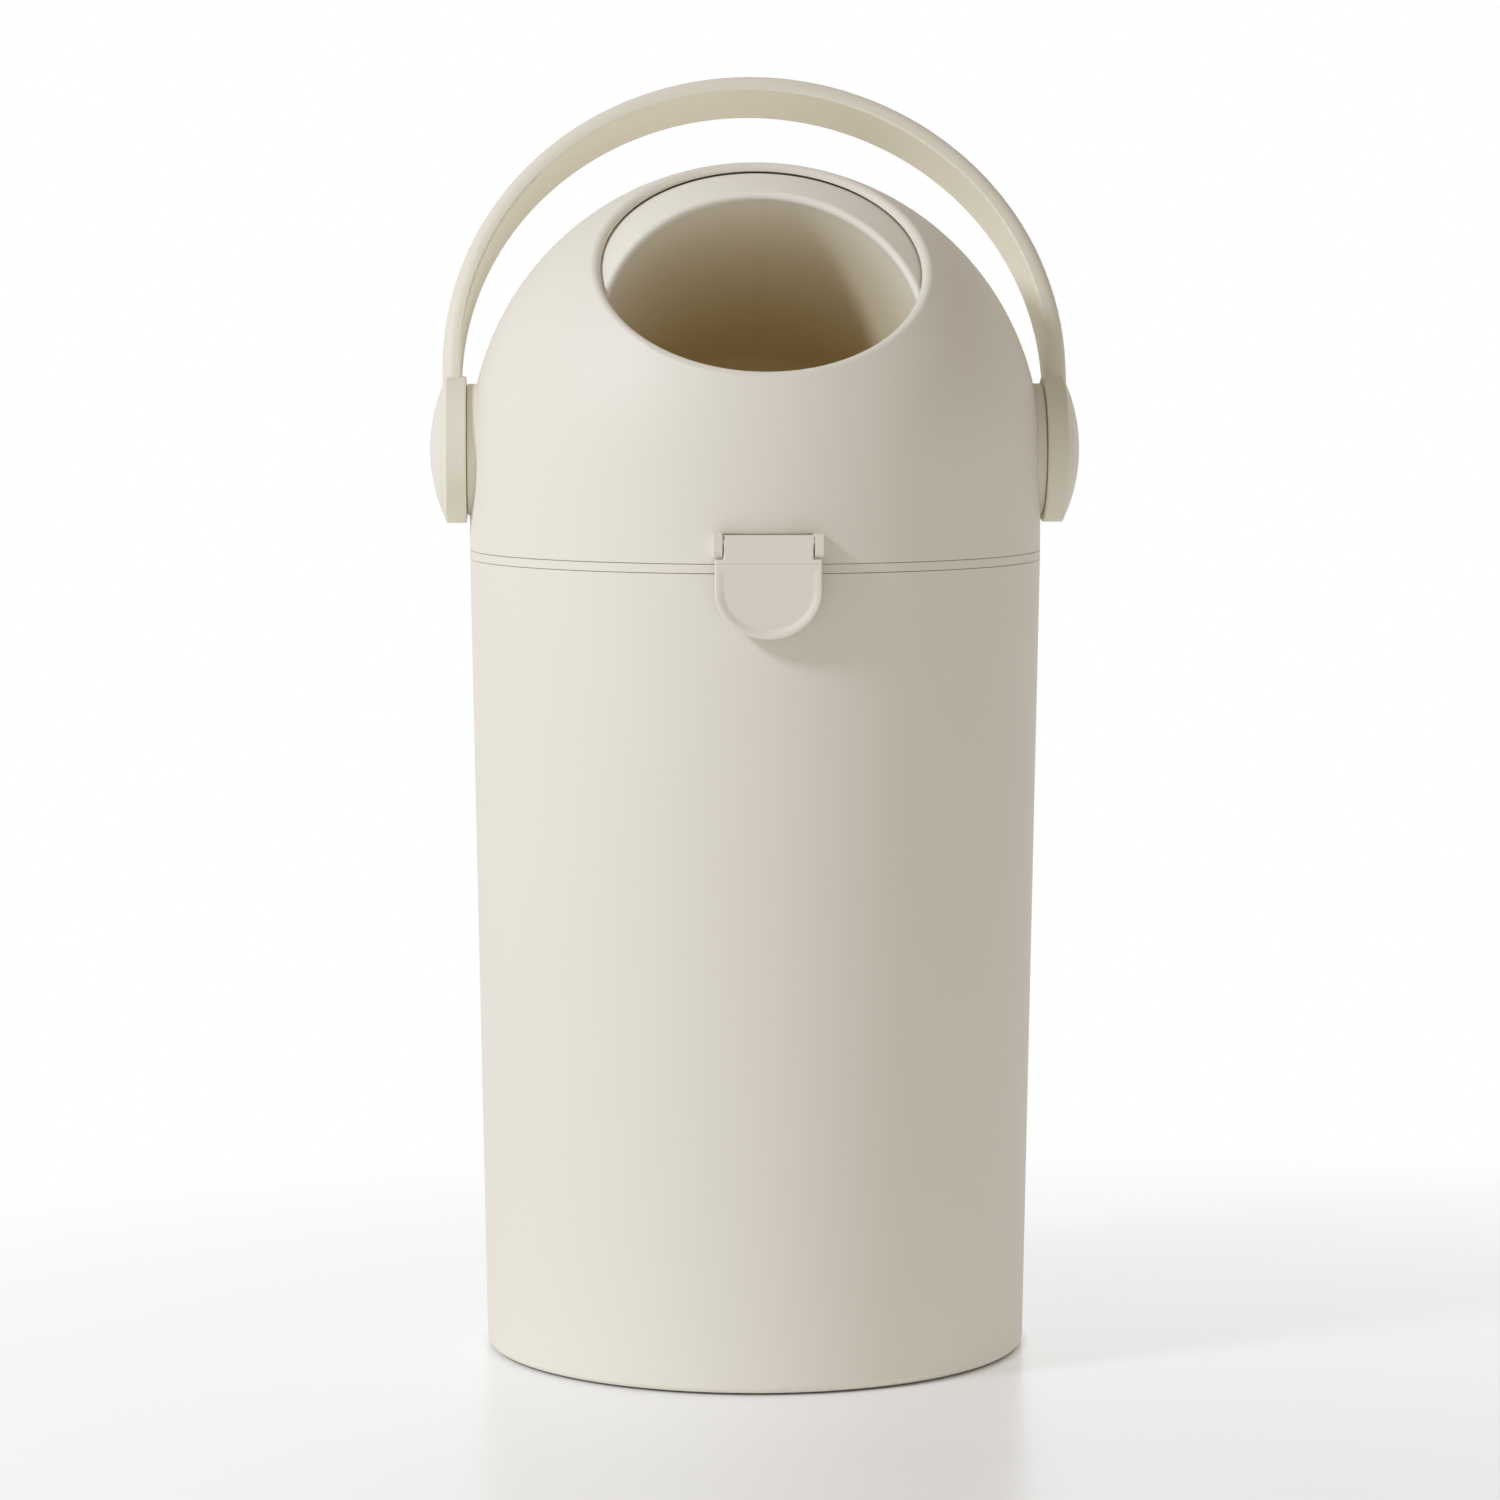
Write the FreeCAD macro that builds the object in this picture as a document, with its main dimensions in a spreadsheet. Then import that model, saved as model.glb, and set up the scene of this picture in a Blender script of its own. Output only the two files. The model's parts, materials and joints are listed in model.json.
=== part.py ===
import FreeCAD, Part
import Sketcher
import math
import os
import re

# Diaper pail with a ball-shaped drum that the bail handle turns under a domed lid.
# Frame: +Z up, the mouth and the latch face -Y, the origin is on the floor under the pail's axis.
# Lengths are millimetres and angles are degrees.

SIZES = {
    # Pail
    "shell_radius": 135.0,       # outside of the pail's rim and of the lid's skirt
    "foot_taper": 6.7,           # how much narrower the pail is at its foot
    "pail_height": 375.8,        # floor to the pail's rim
    "pail_wall": 2.6,
    "pail_floor": 3.0,
    "base_round": 3.0,           # round of the foot's outer edge
    "floor_round": 8.0,          # round between wall and floor, inside
    "foot_stand": 0.8,           # height of the pail's foot over the floor
    "under_recess": 3.0,         # hollow under the pail, inside its standing rim
    "stand_width": 14.0,         # width of the standing rim
    "edge_round": 0.25,          # soft outer edges at the parting lines
    "grip_inset": 3.0,           # from the foot's round to the grip ring
    "grip_width": 6.0,
    "grip_depth": 1.6,           # how deep the grip ring sits in the standing rim
    # Seams and bag ring
    "seam_gap": 0.2,             # open line at each parting line
    "band_height": 4.0,          # band of the bag ring between the parting lines
    "ring_width": 9.0,
    "skirt_drop": 18.0,          # depth of the bag ring's skirt inside the pail
    "skirt_wall": 2.0,
    "arm_root": 1.0,             # arm of the ring's knuckle let into the band
    "bag_gap": 2.4,              # room for the folded bag between pail and skirt
    "gasket_width": 2.4,
    "gasket_seat": 1.4,          # depth of the gasket's groove
    "gasket_proud": 0.1,         # gasket above the ring
    "gasket_inset": 1.0,         # gasket's inner edge from the lid's inner wall
    # Lid
    "skirt_height": 47.0,        # lid's lower edge to the handle's axis
    "lid_wall": 2.8,
    "mouth_tilt": 51.4,          # mouth's axis over the horizontal
    "mouth_angle": 34.3,         # half angle of the mouth, seen from the dome's centre
    "lip_round": 3.0,            # round of the mouth's outer edge
    "lip_depth": 4.0,            # thickness of the mouth's rim
    "lip_span": 6.0,             # width of the thick rim, as an angle
    "mouth_seal_thick": 0.6,
    "mouth_seal_inset": 0.6,     # seal's set-back from the mouth and from the rim's end, as an angle
    # Drum
    "drum_gap": 1.0,             # from the mouth's rim to the drum
    "drum_wall": 2.0,
    "flat_cut": 5.0,             # depth of the flat sides of the ball
    "disc_wall": 3.0,            # end discs behind the flats
    "disc_inset": 0.6,           # end disc inside the edge of the flat
    "cup_tilt": 32.4,            # cup's axis over the horizontal, at rest
    "cup_radius": 72.4,
    "cup_floor_radius": 68.0,
    "cup_inner_round": 0.4,      # hidden side of the cup's soft edge
    "cup_depth": 45.0,           # cup's floor behind the ball's centre
    "cup_floor_round": 24.0,
    "drum_split": 40.0,          # joint of bowl and back, behind the ball's centre
    "split_gap": 0.2,
    "tongue_wall": 1.8,
    "tongue_height": 4.0,
    "tongue_root": 6.0,
    "tongue_gap": 0.2,
    # Axles and bearings
    "axle_square": 18.0,
    "socket_fit": 0.1,           # square socket to square axle, each side
    "socket_depth": 15.0,
    "socket_wall": 3.0,          # floor of the drum's socket
    "socket_boss": 20.0,
    "axle_end_gap": 0.2,
    "journal_radius": 14.0,
    "run_fit": 0.05,             # running clearance on radius
    "seat_fit": 0.02,            # seated clearance on radius
    "bush_wall": 2.6,
    "bush_flange": 2.0,
    "bush_flange_radius": 21.0,
    "side_gap": 0.4,             # drum's flat to the bush's flange
    "axle_seal_room": 2.8,       # length kept for the seal in the boss
    "axle_seal_free": 0.06,      # seal to axle and to boss
    "boss_radius": 31.0,
    "boss_proud": 1.0,           # outer face of the lid's boss over the shell
    "boss_round": 0.8,
    # Stop pin in its groove
    "stop_radius": 23.5,
    "stop_pin": 2.0,
    "stop_reach": 2.0,           # pin's reach into the groove
    "stop_free": 0.5,            # groove round the pin
    "load_turn": 19.0,           # handle back from rest, cup in line with the mouth
    "drop_turn": 120.0,          # handle forwards from rest, cup facing down
    # Handle
    "handle_lean": 21.3,         # lean towards the back at rest
    "arm_proud": 1.6,            # outside of the arms and the arch over the hub's edge
    "arm_rise": 37.4,            # straight arms, from the axis up
    "arm_width": 35.0,
    "arm_thick": 8.8,
    "arm_crown": 5.8,            # round of the outer edges
    "arm_edge": 1.2,             # round of the inner edges
    "hub_gap": 0.3,              # lid's boss to the hub
    "hub_thick": 9.7,
    "hub_radius": 34.6,
    "hub_round": 0.8,
    "hub_web": 3.0,              # hub's wall under the screw's head
    "dome_rise": 7.6,            # dome of the hub's outer face and its cap
    "screw_radius": 2.5,
    "screw_free": 0.2,           # screw's hole in the hub
    "screw_length": 16.0,
    "screw_head": 4.8,
    "screw_head_height": 3.0,
    "cap_radius": 29.0,
    "cap_gap": 0.4,              # fine groove round the cap
    "cap_seat": 0.2,             # cap's seat outside the hub's edge
    "cap_round": 0.5,
    "cap_wall": 2.2,
    "cap_hollow": 13.0,
    "peg_radius": 1.5,
    "peg_length": 4.0,
    "peg_circle": 18.0,
    "peg_count": 3,
    # Seal carrier in the lid's skirt
    "carrier_lift": 0.4,         # carrier's underside over the lid's lower edge
    "carrier_height": 5.6,
    "carrier_fit": 0.2,
    "carrier_width": 6.2,
    "wiper_lift": 2.6,
    "wiper_thick": 1.8,
    "wiper_key": 1.2,            # depth of the wiper's groove
    "wiper_free": 0.4,           # wiper's edge to the drum
    "post_end": 1.0,             # room in a post past its screw's end
    "post_cap": 1.2,             # end of a post over its screw hole
    "post_width": 6.8,
    "post_inset": 0.4,           # post's inner face from the carrier's inner edge
    "post_turn": 30.0,           # first post from the X axis
    "post_count": 6,
    "carrier_screw_inset": 3.2,  # screw's axis from the carrier's inner edge
    "carrier_screw_radius": 1.3,
    "carrier_screw_head": 2.3,
    "carrier_screw_head_height": 1.6,
    "carrier_screw_length": 9.4,
    # Latch
    "latch_rise": 10.0,          # pin's axis over the lid's lower edge
    "latch_pin_radius": 1.6,
    "flap_barrel": 3.4,
    "barrel_gap": 1.1,           # barrel to the shell
    "flap_half": 24.0,           # half width
    "bow_more": 2.0,             # radius of the lower end, over the half width
    "corner_less": 4.0,          # radius between the lower end and the sides, under the half width
    "shoulder_width": 3.9,       # each side, outside the neck between the ears
    "neck_round": 1.2,
    "flap_shoulder": 7.5,        # shoulder below the pin
    "flap_length": 43.3,         # pin to the lower end
    "flap_thick": 3.6,
    "flap_round": 1.0,
    "dish_side": 3.2,            # raised rim beside the dish
    "dish_end": 1.9,             # raised rim below the dish
    "dish_start": 9.0,           # dish's upper end below the pin
    "dish_tilt": 3.0,            # slope of the dish
    "ear_gap": 0.6,              # flap to ear
    "ear_width": 3.9,
    "ear_reach": 3.6,            # ear in front of the pin
    "ear_rise": 3.7,
    "ear_fall": 6.7,
    "ear_round": 3.0,
    "ear_crown": 1.6,
    "recess_depth": 1.4,         # recess in the lid behind the barrel
    "recess_rise": 0.4,          # recess over the barrel
    "hook_drop": 33.5,           # hook's upper face below the pin
    "hook_height": 4.7,
    "hook_reach": 2.2,
    "hook_width": 24.0,
    "catch_gap": 0.3,            # hook to keeper
    "keeper_height": 4.0,
    "keeper_root": 2.0,          # keeper let into the pail's wall
    # Rear hinge
    "hinge_pin_radius": 2.0,
    "knuckle_radius": 5.0,
    "knuckle_gap": 0.2,          # knuckle to the shell
    "lug_gap": 0.4,              # between neighbouring knuckles
    "ring_lug": 14.0,            # half width of the ring's knuckle
    "lid_lug": 10.6,
    "pail_lug": 8.6,
    "lug_flat": 5.0,             # upright back of a knuckle's arm
    "lug_drop": 17.0,            # length of an arm along the wall
    "lug_root": 3.0,             # lugs let into the lid's wall
    "pail_lug_root": 12.0,       # pail's arms inside the shell, before the hollow is cut
    "pail_lug_drop": 24.0,
    "pin_short": 0.2,            # pins end inside their outer knuckles
}

doc = FreeCAD.newDocument("DiaperPail")
sheet = doc.addObject("Spreadsheet::Sheet", "Dims")
for row, (alias, number) in enumerate(SIZES.items(), start=1):
    sheet.set("A%d" % row, alias)
    sheet.set("B%d" % row, str(number))
    sheet.setAlias("B%d" % row, alias)
doc.recompute()

# Heights from the floor
RING_BOTTOM = "(pail_height + seam_gap)"
RING_TOP = "(pail_height + seam_gap + band_height)"
AXIS_HEIGHT = "(pail_height + 2 * seam_gap + band_height + skirt_height)"
HINGE_HEIGHT = "(pail_height + seam_gap + band_height / 2)"
FLOOR_TOP = "(foot_stand + under_recess + pail_floor)"
LATCH_HEIGHT = "(pail_height + 2 * seam_gap + band_height + latch_rise)"
KEEPER_BOTTOM = f"({LATCH_HEIGHT} - hook_drop + catch_gap)"

# Heights from the handle's axis, for what the lid carries
LID_BOTTOM = "(-skirt_height)"
LATCH_BELOW = "(latch_rise - skirt_height)"
HINGE_BELOW = "(-skirt_height - seam_gap - band_height / 2)"
CARRIER_BOTTOM = "(carrier_lift - skirt_height)"
CARRIER_TOP = "(carrier_lift - skirt_height + carrier_height)"
WIPER_BOTTOM = "(carrier_lift - skirt_height + wiper_lift)"
WIPER_TOP = "(carrier_lift - skirt_height + wiper_lift + wiper_thick)"

# Places from front to back
HINGE_BACK = "(shell_radius + knuckle_gap + knuckle_radius)"
PIN_FRONT = "(shell_radius + barrel_gap + flap_barrel)"
KEEPER_REACH = "(barrel_gap + 2 * flap_barrel - flap_thick - hook_reach - catch_gap)"

# Radii
BASE_RADIUS = "(shell_radius - foot_taper)"
LID_INSIDE = "(shell_radius - lid_wall)"
RIM_INSIDE = "(shell_radius - lip_depth)"
DRUM_RADIUS = "(shell_radius - lip_depth - drum_gap)"
DRUM_INSIDE = "(shell_radius - lip_depth - drum_gap - drum_wall)"
CUP_ROUND = "(drum_wall + cup_inner_round)"
DRUM_FLAT = "(shell_radius - lip_depth - drum_gap - flat_cut)"
FLAT_RADIUS = f"sqrt({DRUM_RADIUS}^2 - {DRUM_FLAT}^2)"
GRIP_OUTER = "(shell_radius - foot_taper - base_round - grip_inset)"
GASKET_INNER = "(shell_radius - lid_wall - gasket_inset)"
CARRIER_INNER = "(shell_radius - lid_wall - carrier_fit - carrier_width)"
SCREW_CIRCLE = f"({CARRIER_INNER} + carrier_screw_inset)"
BUSH_INNER = "(journal_radius + run_fit)"
BUSH_OUTER = "(journal_radius + run_fit + bush_wall)"
BORE_RADIUS = "(journal_radius + run_fit + bush_wall + seat_fit)"
DOME_RADIUS = "(((hub_radius - hub_round)^2 + dome_rise^2) / (2 * dome_rise))"

# Places along the axle, from the middle out
BUSH_FACE = f"({DRUM_FLAT} + side_gap)"
BOSS_INNER = f"({DRUM_FLAT} + side_gap + bush_flange)"
BOSS_FACE = "(shell_radius + boss_proud)"
SEAL_FACE = f"({BOSS_FACE} - axle_seal_room)"
HUB_INNER = f"({BOSS_FACE} + hub_gap)"
HUB_OUTER = f"({BOSS_FACE} + hub_gap + hub_thick)"
CAP_SEAT = f"({HUB_OUTER} + cap_seat)"
DOME_TOP = f"({HUB_OUTER} + dome_rise)"
DOME_CENTRE = f"({DOME_TOP} - {DOME_RADIUS})"
JOURNAL_END = f"({BOSS_FACE} + hub_gap / 2)"
ARCH_RADIUS = f"({HUB_OUTER} + arm_proud)"
LID_LUG_START = "(ring_lug + lug_gap)"
PAIL_LUG_START = "(ring_lug + lug_gap + lid_lug + lug_gap)"
FLAP_NECK = "(flap_half - shoulder_width)"
EAR_START = f"({FLAP_NECK} + ear_gap)"

# Depths along the carrier's screws, from the carrier's top
POST_HOLE = "(carrier_screw_head_height + carrier_screw_length - carrier_height + post_end)"

# Two edges count as one level within this distance
LEVEL = 0.01


def bound(text):
    """Expression in which every size names its cell in the sheet."""
    return re.sub(r"\b([a-z]+(?:_[a-z]+)+)\b", r"Dims.\1", text)


def size(text):
    """Value of an expression."""
    return float(sheet.evalExpression(bound(text)))


def new_body(label, back="0", height="0", lean="0"):
    """Empty body of a sub-part, placed from front to back and in height, leaning about the X axis."""
    body = doc.addObject("PartDesign::Body", label)
    body.Label = label
    tilt = FreeCAD.Rotation(FreeCAD.Vector(1, 0, 0), size(lean))
    body.Placement = FreeCAD.Placement(FreeCAD.Vector(0, size(back), size(height)), tilt)
    body.setExpression("Placement.Base.y", bound(back))
    body.setExpression("Placement.Base.z", bound(height))
    if lean != "0":
        body.setExpression("Placement.Rotation.Angle", bound(lean))
    return body


def origin_feature(body, role):
    """Plane or axis of a body's origin."""
    return [feature for feature in body.Origin.OriginFeatures if feature.Role == role][0]


def sketch_on(body, name, plane, shift="0", turn="0", about=(0, 0, 1)):
    """Sketch on an origin plane, shifted along its normal and turned about one of its own axes."""
    sketch = body.newObject("Sketcher::SketchObject", name)
    sketch.AttachmentSupport = [(origin_feature(body, plane), "")]
    sketch.MapMode = "FlatFace"
    rotation = FreeCAD.Rotation(FreeCAD.Vector(*about), size(turn))
    sketch.AttachmentOffset = FreeCAD.Placement(FreeCAD.Vector(0, 0, size(shift)), rotation)
    sketch.setExpression("AttachmentOffset.Base.z", bound(shift))
    if turn != "0":
        sketch.setExpression("AttachmentOffset.Rotation.Angle", bound(turn))
    return sketch


def fix_point(sketch, edge, end, across, up):
    """Tie a point of a sketch to the sizes in the sheet."""
    for kind, text in (("DistanceX", across), ("DistanceY", up)):
        number = sketch.addConstraint(Sketcher.Constraint(kind, -1, 1, edge, end, size(text)))
        sketch.setExpression("Constraints[%d]" % number, bound(text))


def fix_radius(sketch, edge, text):
    """Tie the radius of an arc or a circle to the sizes in the sheet."""
    number = sketch.addConstraint(Sketcher.Constraint("Radius", edge, abs(size(text))))
    sketch.setExpression("Constraints[%d]" % number, "abs(%s)" % bound(text))


def arc_between(start, end, bend):
    """Arc of less than half a turn, to the left for a positive bend and to the right for a negative one."""
    chord = end - start
    rise = math.sqrt(max(bend * bend - chord.Length ** 2 / 4, 0))
    left = FreeCAD.Vector(-chord.y, chord.x, 0).normalize()
    centre = (start + end) / 2 + left * math.copysign(rise, bend)
    first, last = (start, end) if bend > 0 else (end, start)
    begin = math.atan2(first.y - centre.y, first.x - centre.x)
    finish = math.atan2(last.y - centre.y, last.x - centre.x)
    if finish < begin:
        finish += 2 * math.pi
    return Part.ArcOfCircle(Part.Circle(centre, FreeCAD.Vector(0, 0, 1), abs(bend)), begin, finish)


def outline(sketch, points):
    """Closed outline. A point (x, y) is reached by a line, and (x, y, bend) by an arc of that radius."""
    corners = [FreeCAD.Vector(size(point[0]), size(point[1]), 0) for point in points]
    edges = []
    for index, point in enumerate(points):
        start = corners[index - 1]
        end = corners[index]
        if len(point) == 2:
            edges.append((sketch.addGeometry(Part.LineSegment(start, end)), 1, 2))
        else:
            bend = size(point[2])
            edge = sketch.addGeometry(arc_between(start, end, bend))
            edges.append((edge, 1, 2) if bend > 0 else (edge, 2, 1))
    for index, point in enumerate(points):
        edge, _, last = edges[index]
        following, first, _ = edges[(index + 1) % len(edges)]
        sketch.addConstraint(Sketcher.Constraint("Coincident", edge, last, following, first))
        fix_point(sketch, edge, last, point[0], point[1])
        if len(point) == 3:
            fix_radius(sketch, edge, point[2])
    return sketch


def box_outline(sketch, low_x, low_y, high_x, high_y):
    """Rectangle between two corners."""
    return outline(sketch, [(low_x, low_y), (high_x, low_y), (high_x, high_y), (low_x, high_y)])


def circle(sketch, across, up, radius):
    """Circle at a point."""
    place = FreeCAD.Vector(size(across), size(up), 0)
    edge = sketch.addGeometry(Part.Circle(place, FreeCAD.Vector(0, 0, 1), size(radius)))
    fix_point(sketch, edge, 3, across, up)
    fix_radius(sketch, edge, radius)
    return sketch


def polar(radius, angle):
    """Point at a radius, turned by an angle from a sketch's upright axis."""
    return f"{radius} * sin({angle})", f"{radius} * cos({angle})"


def settle(body, feature, grows):
    """Recompute, and make sure that the feature adds or removes what it should."""
    before = body.Shape.Volume if not body.Shape.isNull() else 0.0
    body.Tip = feature
    doc.recompute()
    if "Invalid" in feature.State or "Error" in feature.State:
        raise RuntimeError("%s failed" % feature.Label)
    change = body.Shape.Volume - before
    if change == 0 or (change > 0) != grows:
        raise RuntimeError("%s changed the volume by %.3f" % (feature.Label, change))
    return feature


def pad(body, name, sketch, length, reverse=False, both=False):
    """Pull a sketch out along its normal, against it, or half each way."""
    feature = body.newObject("PartDesign::Pad", name)
    feature.Profile = (sketch, [""])
    feature.setExpression("Length", bound(length))
    feature.Reversed = reverse
    feature.Midplane = both
    return settle(body, feature, True)


def pocket(body, name, sketch, length=None, reverse=False, both=False):
    """Cut a sketch against its normal, along it, or each way, right through where no length is given."""
    feature = body.newObject("PartDesign::Pocket", name)
    feature.Profile = (sketch, [""])
    if length is None:
        feature.Type = "ThroughAll"
    else:
        feature.setExpression("Length", bound(length))
    feature.Reversed = reverse
    feature.Midplane = both
    return settle(body, feature, False)


def revolve(body, name, sketch, axis="V_Axis", cut=False, angle="360", reverse=False, both=False):
    """Turn a sketch about one of its own axes, or half each way, to add or to cut."""
    feature = body.newObject("PartDesign::Groove" if cut else "PartDesign::Revolution", name)
    feature.Profile = (sketch, [""])
    feature.ReferenceAxis = (sketch, [axis])
    feature.setExpression("Angle", bound(angle))
    feature.Reversed = reverse
    feature.Midplane = both
    return settle(body, feature, not cut)


def mirror(body, name, features, grows):
    """Repeat features on the other side of the YZ plane."""
    feature = body.newObject("PartDesign::Mirrored", name)
    feature.Originals = features
    feature.MirrorPlane = (origin_feature(body, "YZ_Plane"), [""])
    return settle(body, feature, grows)


def repeat(body, name, features, axis, count, grows):
    """Repeat features round an axis of the body."""
    feature = body.newObject("PartDesign::PolarPattern", name)
    feature.Originals = features
    feature.Axis = (origin_feature(body, axis), [""])
    feature.Angle = 360
    feature.setExpression("Occurrences", bound(count))
    return settle(body, feature, grows)


def soften(body, name, radius, wanted):
    """Round the edges that pass a test."""
    base = body.Tip
    names = ["Edge%d" % number for number, edge in enumerate(base.Shape.Edges, start=1) if wanted(edge)]
    feature = body.newObject("PartDesign::Fillet", name)
    feature.Base = (base, names)
    feature.setExpression("Radius", bound(radius))
    return settle(body, feature, False)


def pin_hole(body, name, back, height, radius):
    """Hole along X right through a body."""
    sketch = circle(sketch_on(body, name + "_sketch", "YZ_Plane"), back, height, radius)
    return pocket(body, name, sketch, both=True)


def make_pail_body():
    """Tapered shell with its floor, the latch's keeper and the two outer knuckles of the rear hinge."""
    body = new_body("pail_body")
    outside = outline(sketch_on(body, "pail_outside", "XZ_Plane"), [
        ("0", "foot_stand + under_recess"),
        (f"{BASE_RADIUS} - stand_width", "foot_stand + under_recess"),
        (f"{BASE_RADIUS} - stand_width", "foot_stand"),
        (f"{BASE_RADIUS} - base_round", "foot_stand"),
        (BASE_RADIUS, "foot_stand + base_round", "base_round"),
        ("shell_radius", "pail_height - edge_round"),
        ("shell_radius - edge_round", "pail_height", "edge_round"),
        ("0", "pail_height"),
    ])
    revolve(body, "pail_solid", outside)
    keeper = sketch_on(body, "keeper_sketch", "XZ_Plane", shift="shell_radius - keeper_root")
    keeper_top = f"{KEEPER_BOTTOM} + keeper_height"
    box_outline(keeper, "-hook_width / 2", KEEPER_BOTTOM, "hook_width / 2", keeper_top)
    pad(body, "keeper", keeper, f"keeper_root + {KEEPER_REACH}")
    arm = outline(sketch_on(body, "knuckle_sketch", "YZ_Plane", shift=PAIL_LUG_START), [
        ("shell_radius - pail_lug_root", f"{HINGE_HEIGHT} - pail_lug_drop"),
        (f"{HINGE_BACK} + knuckle_radius", f"{HINGE_HEIGHT} - lug_flat"),
        (f"{HINGE_BACK} + knuckle_radius", HINGE_HEIGHT),
        (HINGE_BACK, f"{HINGE_HEIGHT} + knuckle_radius", "knuckle_radius"),
        (f"{HINGE_BACK} - knuckle_radius", HINGE_HEIGHT, "knuckle_radius"),
        (f"{HINGE_BACK} - knuckle_radius", "pail_height"),
        ("shell_radius - pail_lug_root", "pail_height"),
    ])
    knuckle = pad(body, "knuckle", arm, "pail_lug")
    mirror(body, "knuckles", [knuckle], True)
    hollow = outline(sketch_on(body, "hollow_sketch", "XZ_Plane"), [
        ("0", FLOOR_TOP),
        (f"{BASE_RADIUS} - pail_wall - floor_round", FLOOR_TOP),
        (f"{BASE_RADIUS} - pail_wall", f"{FLOOR_TOP} + floor_round", "floor_round"),
        ("shell_radius - pail_wall", "pail_height"),
        ("0", "pail_height"),
    ])
    revolve(body, "hollow", hollow, cut=True)
    groove = sketch_on(body, "grip_groove_sketch", "XZ_Plane")
    box_outline(groove, f"{GRIP_OUTER} - grip_width - seat_fit", "foot_stand",
                f"{GRIP_OUTER} + seat_fit", "foot_stand + grip_depth")
    revolve(body, "grip_groove", groove, cut=True)
    pin_hole(body, "hinge_hole", HINGE_BACK, HINGE_HEIGHT, "hinge_pin_radius + seat_fit")


def make_base_grip_ring():
    """Rubber ring that the pail stands on."""
    body = new_body("base_grip_ring")
    section = sketch_on(body, "grip_section", "XZ_Plane")
    box_outline(section, f"{GRIP_OUTER} - grip_width", "0", GRIP_OUTER, "foot_stand + grip_depth")
    revolve(body, "grip", section)


def make_bag_ring():
    """Band between the parting lines, with the skirt that clamps the bag and a knuckle of the hinge."""
    body = new_body("bag_ring")
    skirt_outer = "(shell_radius - pail_wall - bag_gap)"
    section = outline(sketch_on(body, "ring_section", "XZ_Plane"), [
        (f"{skirt_outer} - skirt_wall", f"{RING_BOTTOM} - skirt_drop"),
        (skirt_outer, f"{RING_BOTTOM} - skirt_drop"),
        (skirt_outer, RING_BOTTOM),
        ("shell_radius - edge_round", RING_BOTTOM),
        ("shell_radius", f"{RING_BOTTOM} + edge_round", "edge_round"),
        ("shell_radius", f"{RING_TOP} - edge_round"),
        ("shell_radius - edge_round", RING_TOP, "edge_round"),
        (f"{GASKET_INNER} + gasket_width", RING_TOP),
        (f"{GASKET_INNER} + gasket_width", f"{RING_TOP} - gasket_seat"),
        (GASKET_INNER, f"{RING_TOP} - gasket_seat"),
        (GASKET_INNER, RING_TOP),
        ("shell_radius - ring_width", RING_TOP),
        ("shell_radius - ring_width", RING_BOTTOM),
        (f"{skirt_outer} - skirt_wall", RING_BOTTOM),
    ])
    revolve(body, "ring", section)
    arm = sketch_on(body, "arm_sketch", "YZ_Plane")
    box_outline(arm, "shell_radius - arm_root", RING_BOTTOM, HINGE_BACK, RING_TOP)
    pad(body, "arm", arm, "2 * ring_lug", both=True)
    knuckle = sketch_on(body, "knuckle_sketch", "YZ_Plane")
    circle(knuckle, HINGE_BACK, HINGE_HEIGHT, "knuckle_radius")
    pad(body, "knuckle", knuckle, "2 * ring_lug", both=True)
    pin_hole(body, "hinge_hole", HINGE_BACK, HINGE_HEIGHT, "hinge_pin_radius + run_fit")


def make_lid_gasket():
    """Rubber ring in the groove on top of the bag ring."""
    body = new_body("lid_gasket")
    section = sketch_on(body, "gasket_section", "XZ_Plane")
    box_outline(section, f"{GASKET_INNER} + seat_fit", f"{RING_TOP} - gasket_seat",
                f"{GASKET_INNER} + gasket_width - seat_fit", f"{RING_TOP} + gasket_proud")
    revolve(body, "gasket", section)


def add_lid_shell(body):
    """Dome with its mouth, turned about the mouth's axis and cut off level with the axle, and the skirt."""
    lip = "asin(lip_round / (shell_radius - lip_round)) / (1 deg)"
    lip_start = "sqrt((shell_radius - lip_round)^2 - lip_round^2)"
    rim_end = "(mouth_angle + lip_span)"
    dome = outline(sketch_on(body, "dome_section", "YZ_Plane", turn="90 - mouth_tilt"), [
        (*polar(RIM_INSIDE, "mouth_angle"), RIM_INSIDE),
        (*polar(lip_start, "mouth_angle"),),
        (*polar("shell_radius", f"(mouth_angle + {lip})"), "-lip_round"),
        ("0", "-shell_radius", "-shell_radius"),
        ("0", f"-{LID_INSIDE}"),
        (*polar(LID_INSIDE, rim_end), LID_INSIDE),
        (*polar(RIM_INSIDE, rim_end),),
    ])
    revolve(body, "dome", dome)
    below = circle(sketch_on(body, "below_axle", "XY_Plane"), "0", "0", "shell_radius + lid_wall")
    pocket(body, "dome_cut", below)
    skirt = outline(sketch_on(body, "skirt_section", "XZ_Plane"), [
        (LID_INSIDE, LID_BOTTOM),
        ("shell_radius - edge_round", LID_BOTTOM),
        ("shell_radius", f"{LID_BOTTOM} + edge_round", "edge_round"),
        ("shell_radius", "0"),
        (LID_INSIDE, "0"),
    ])
    revolve(body, "skirt", skirt)


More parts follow.
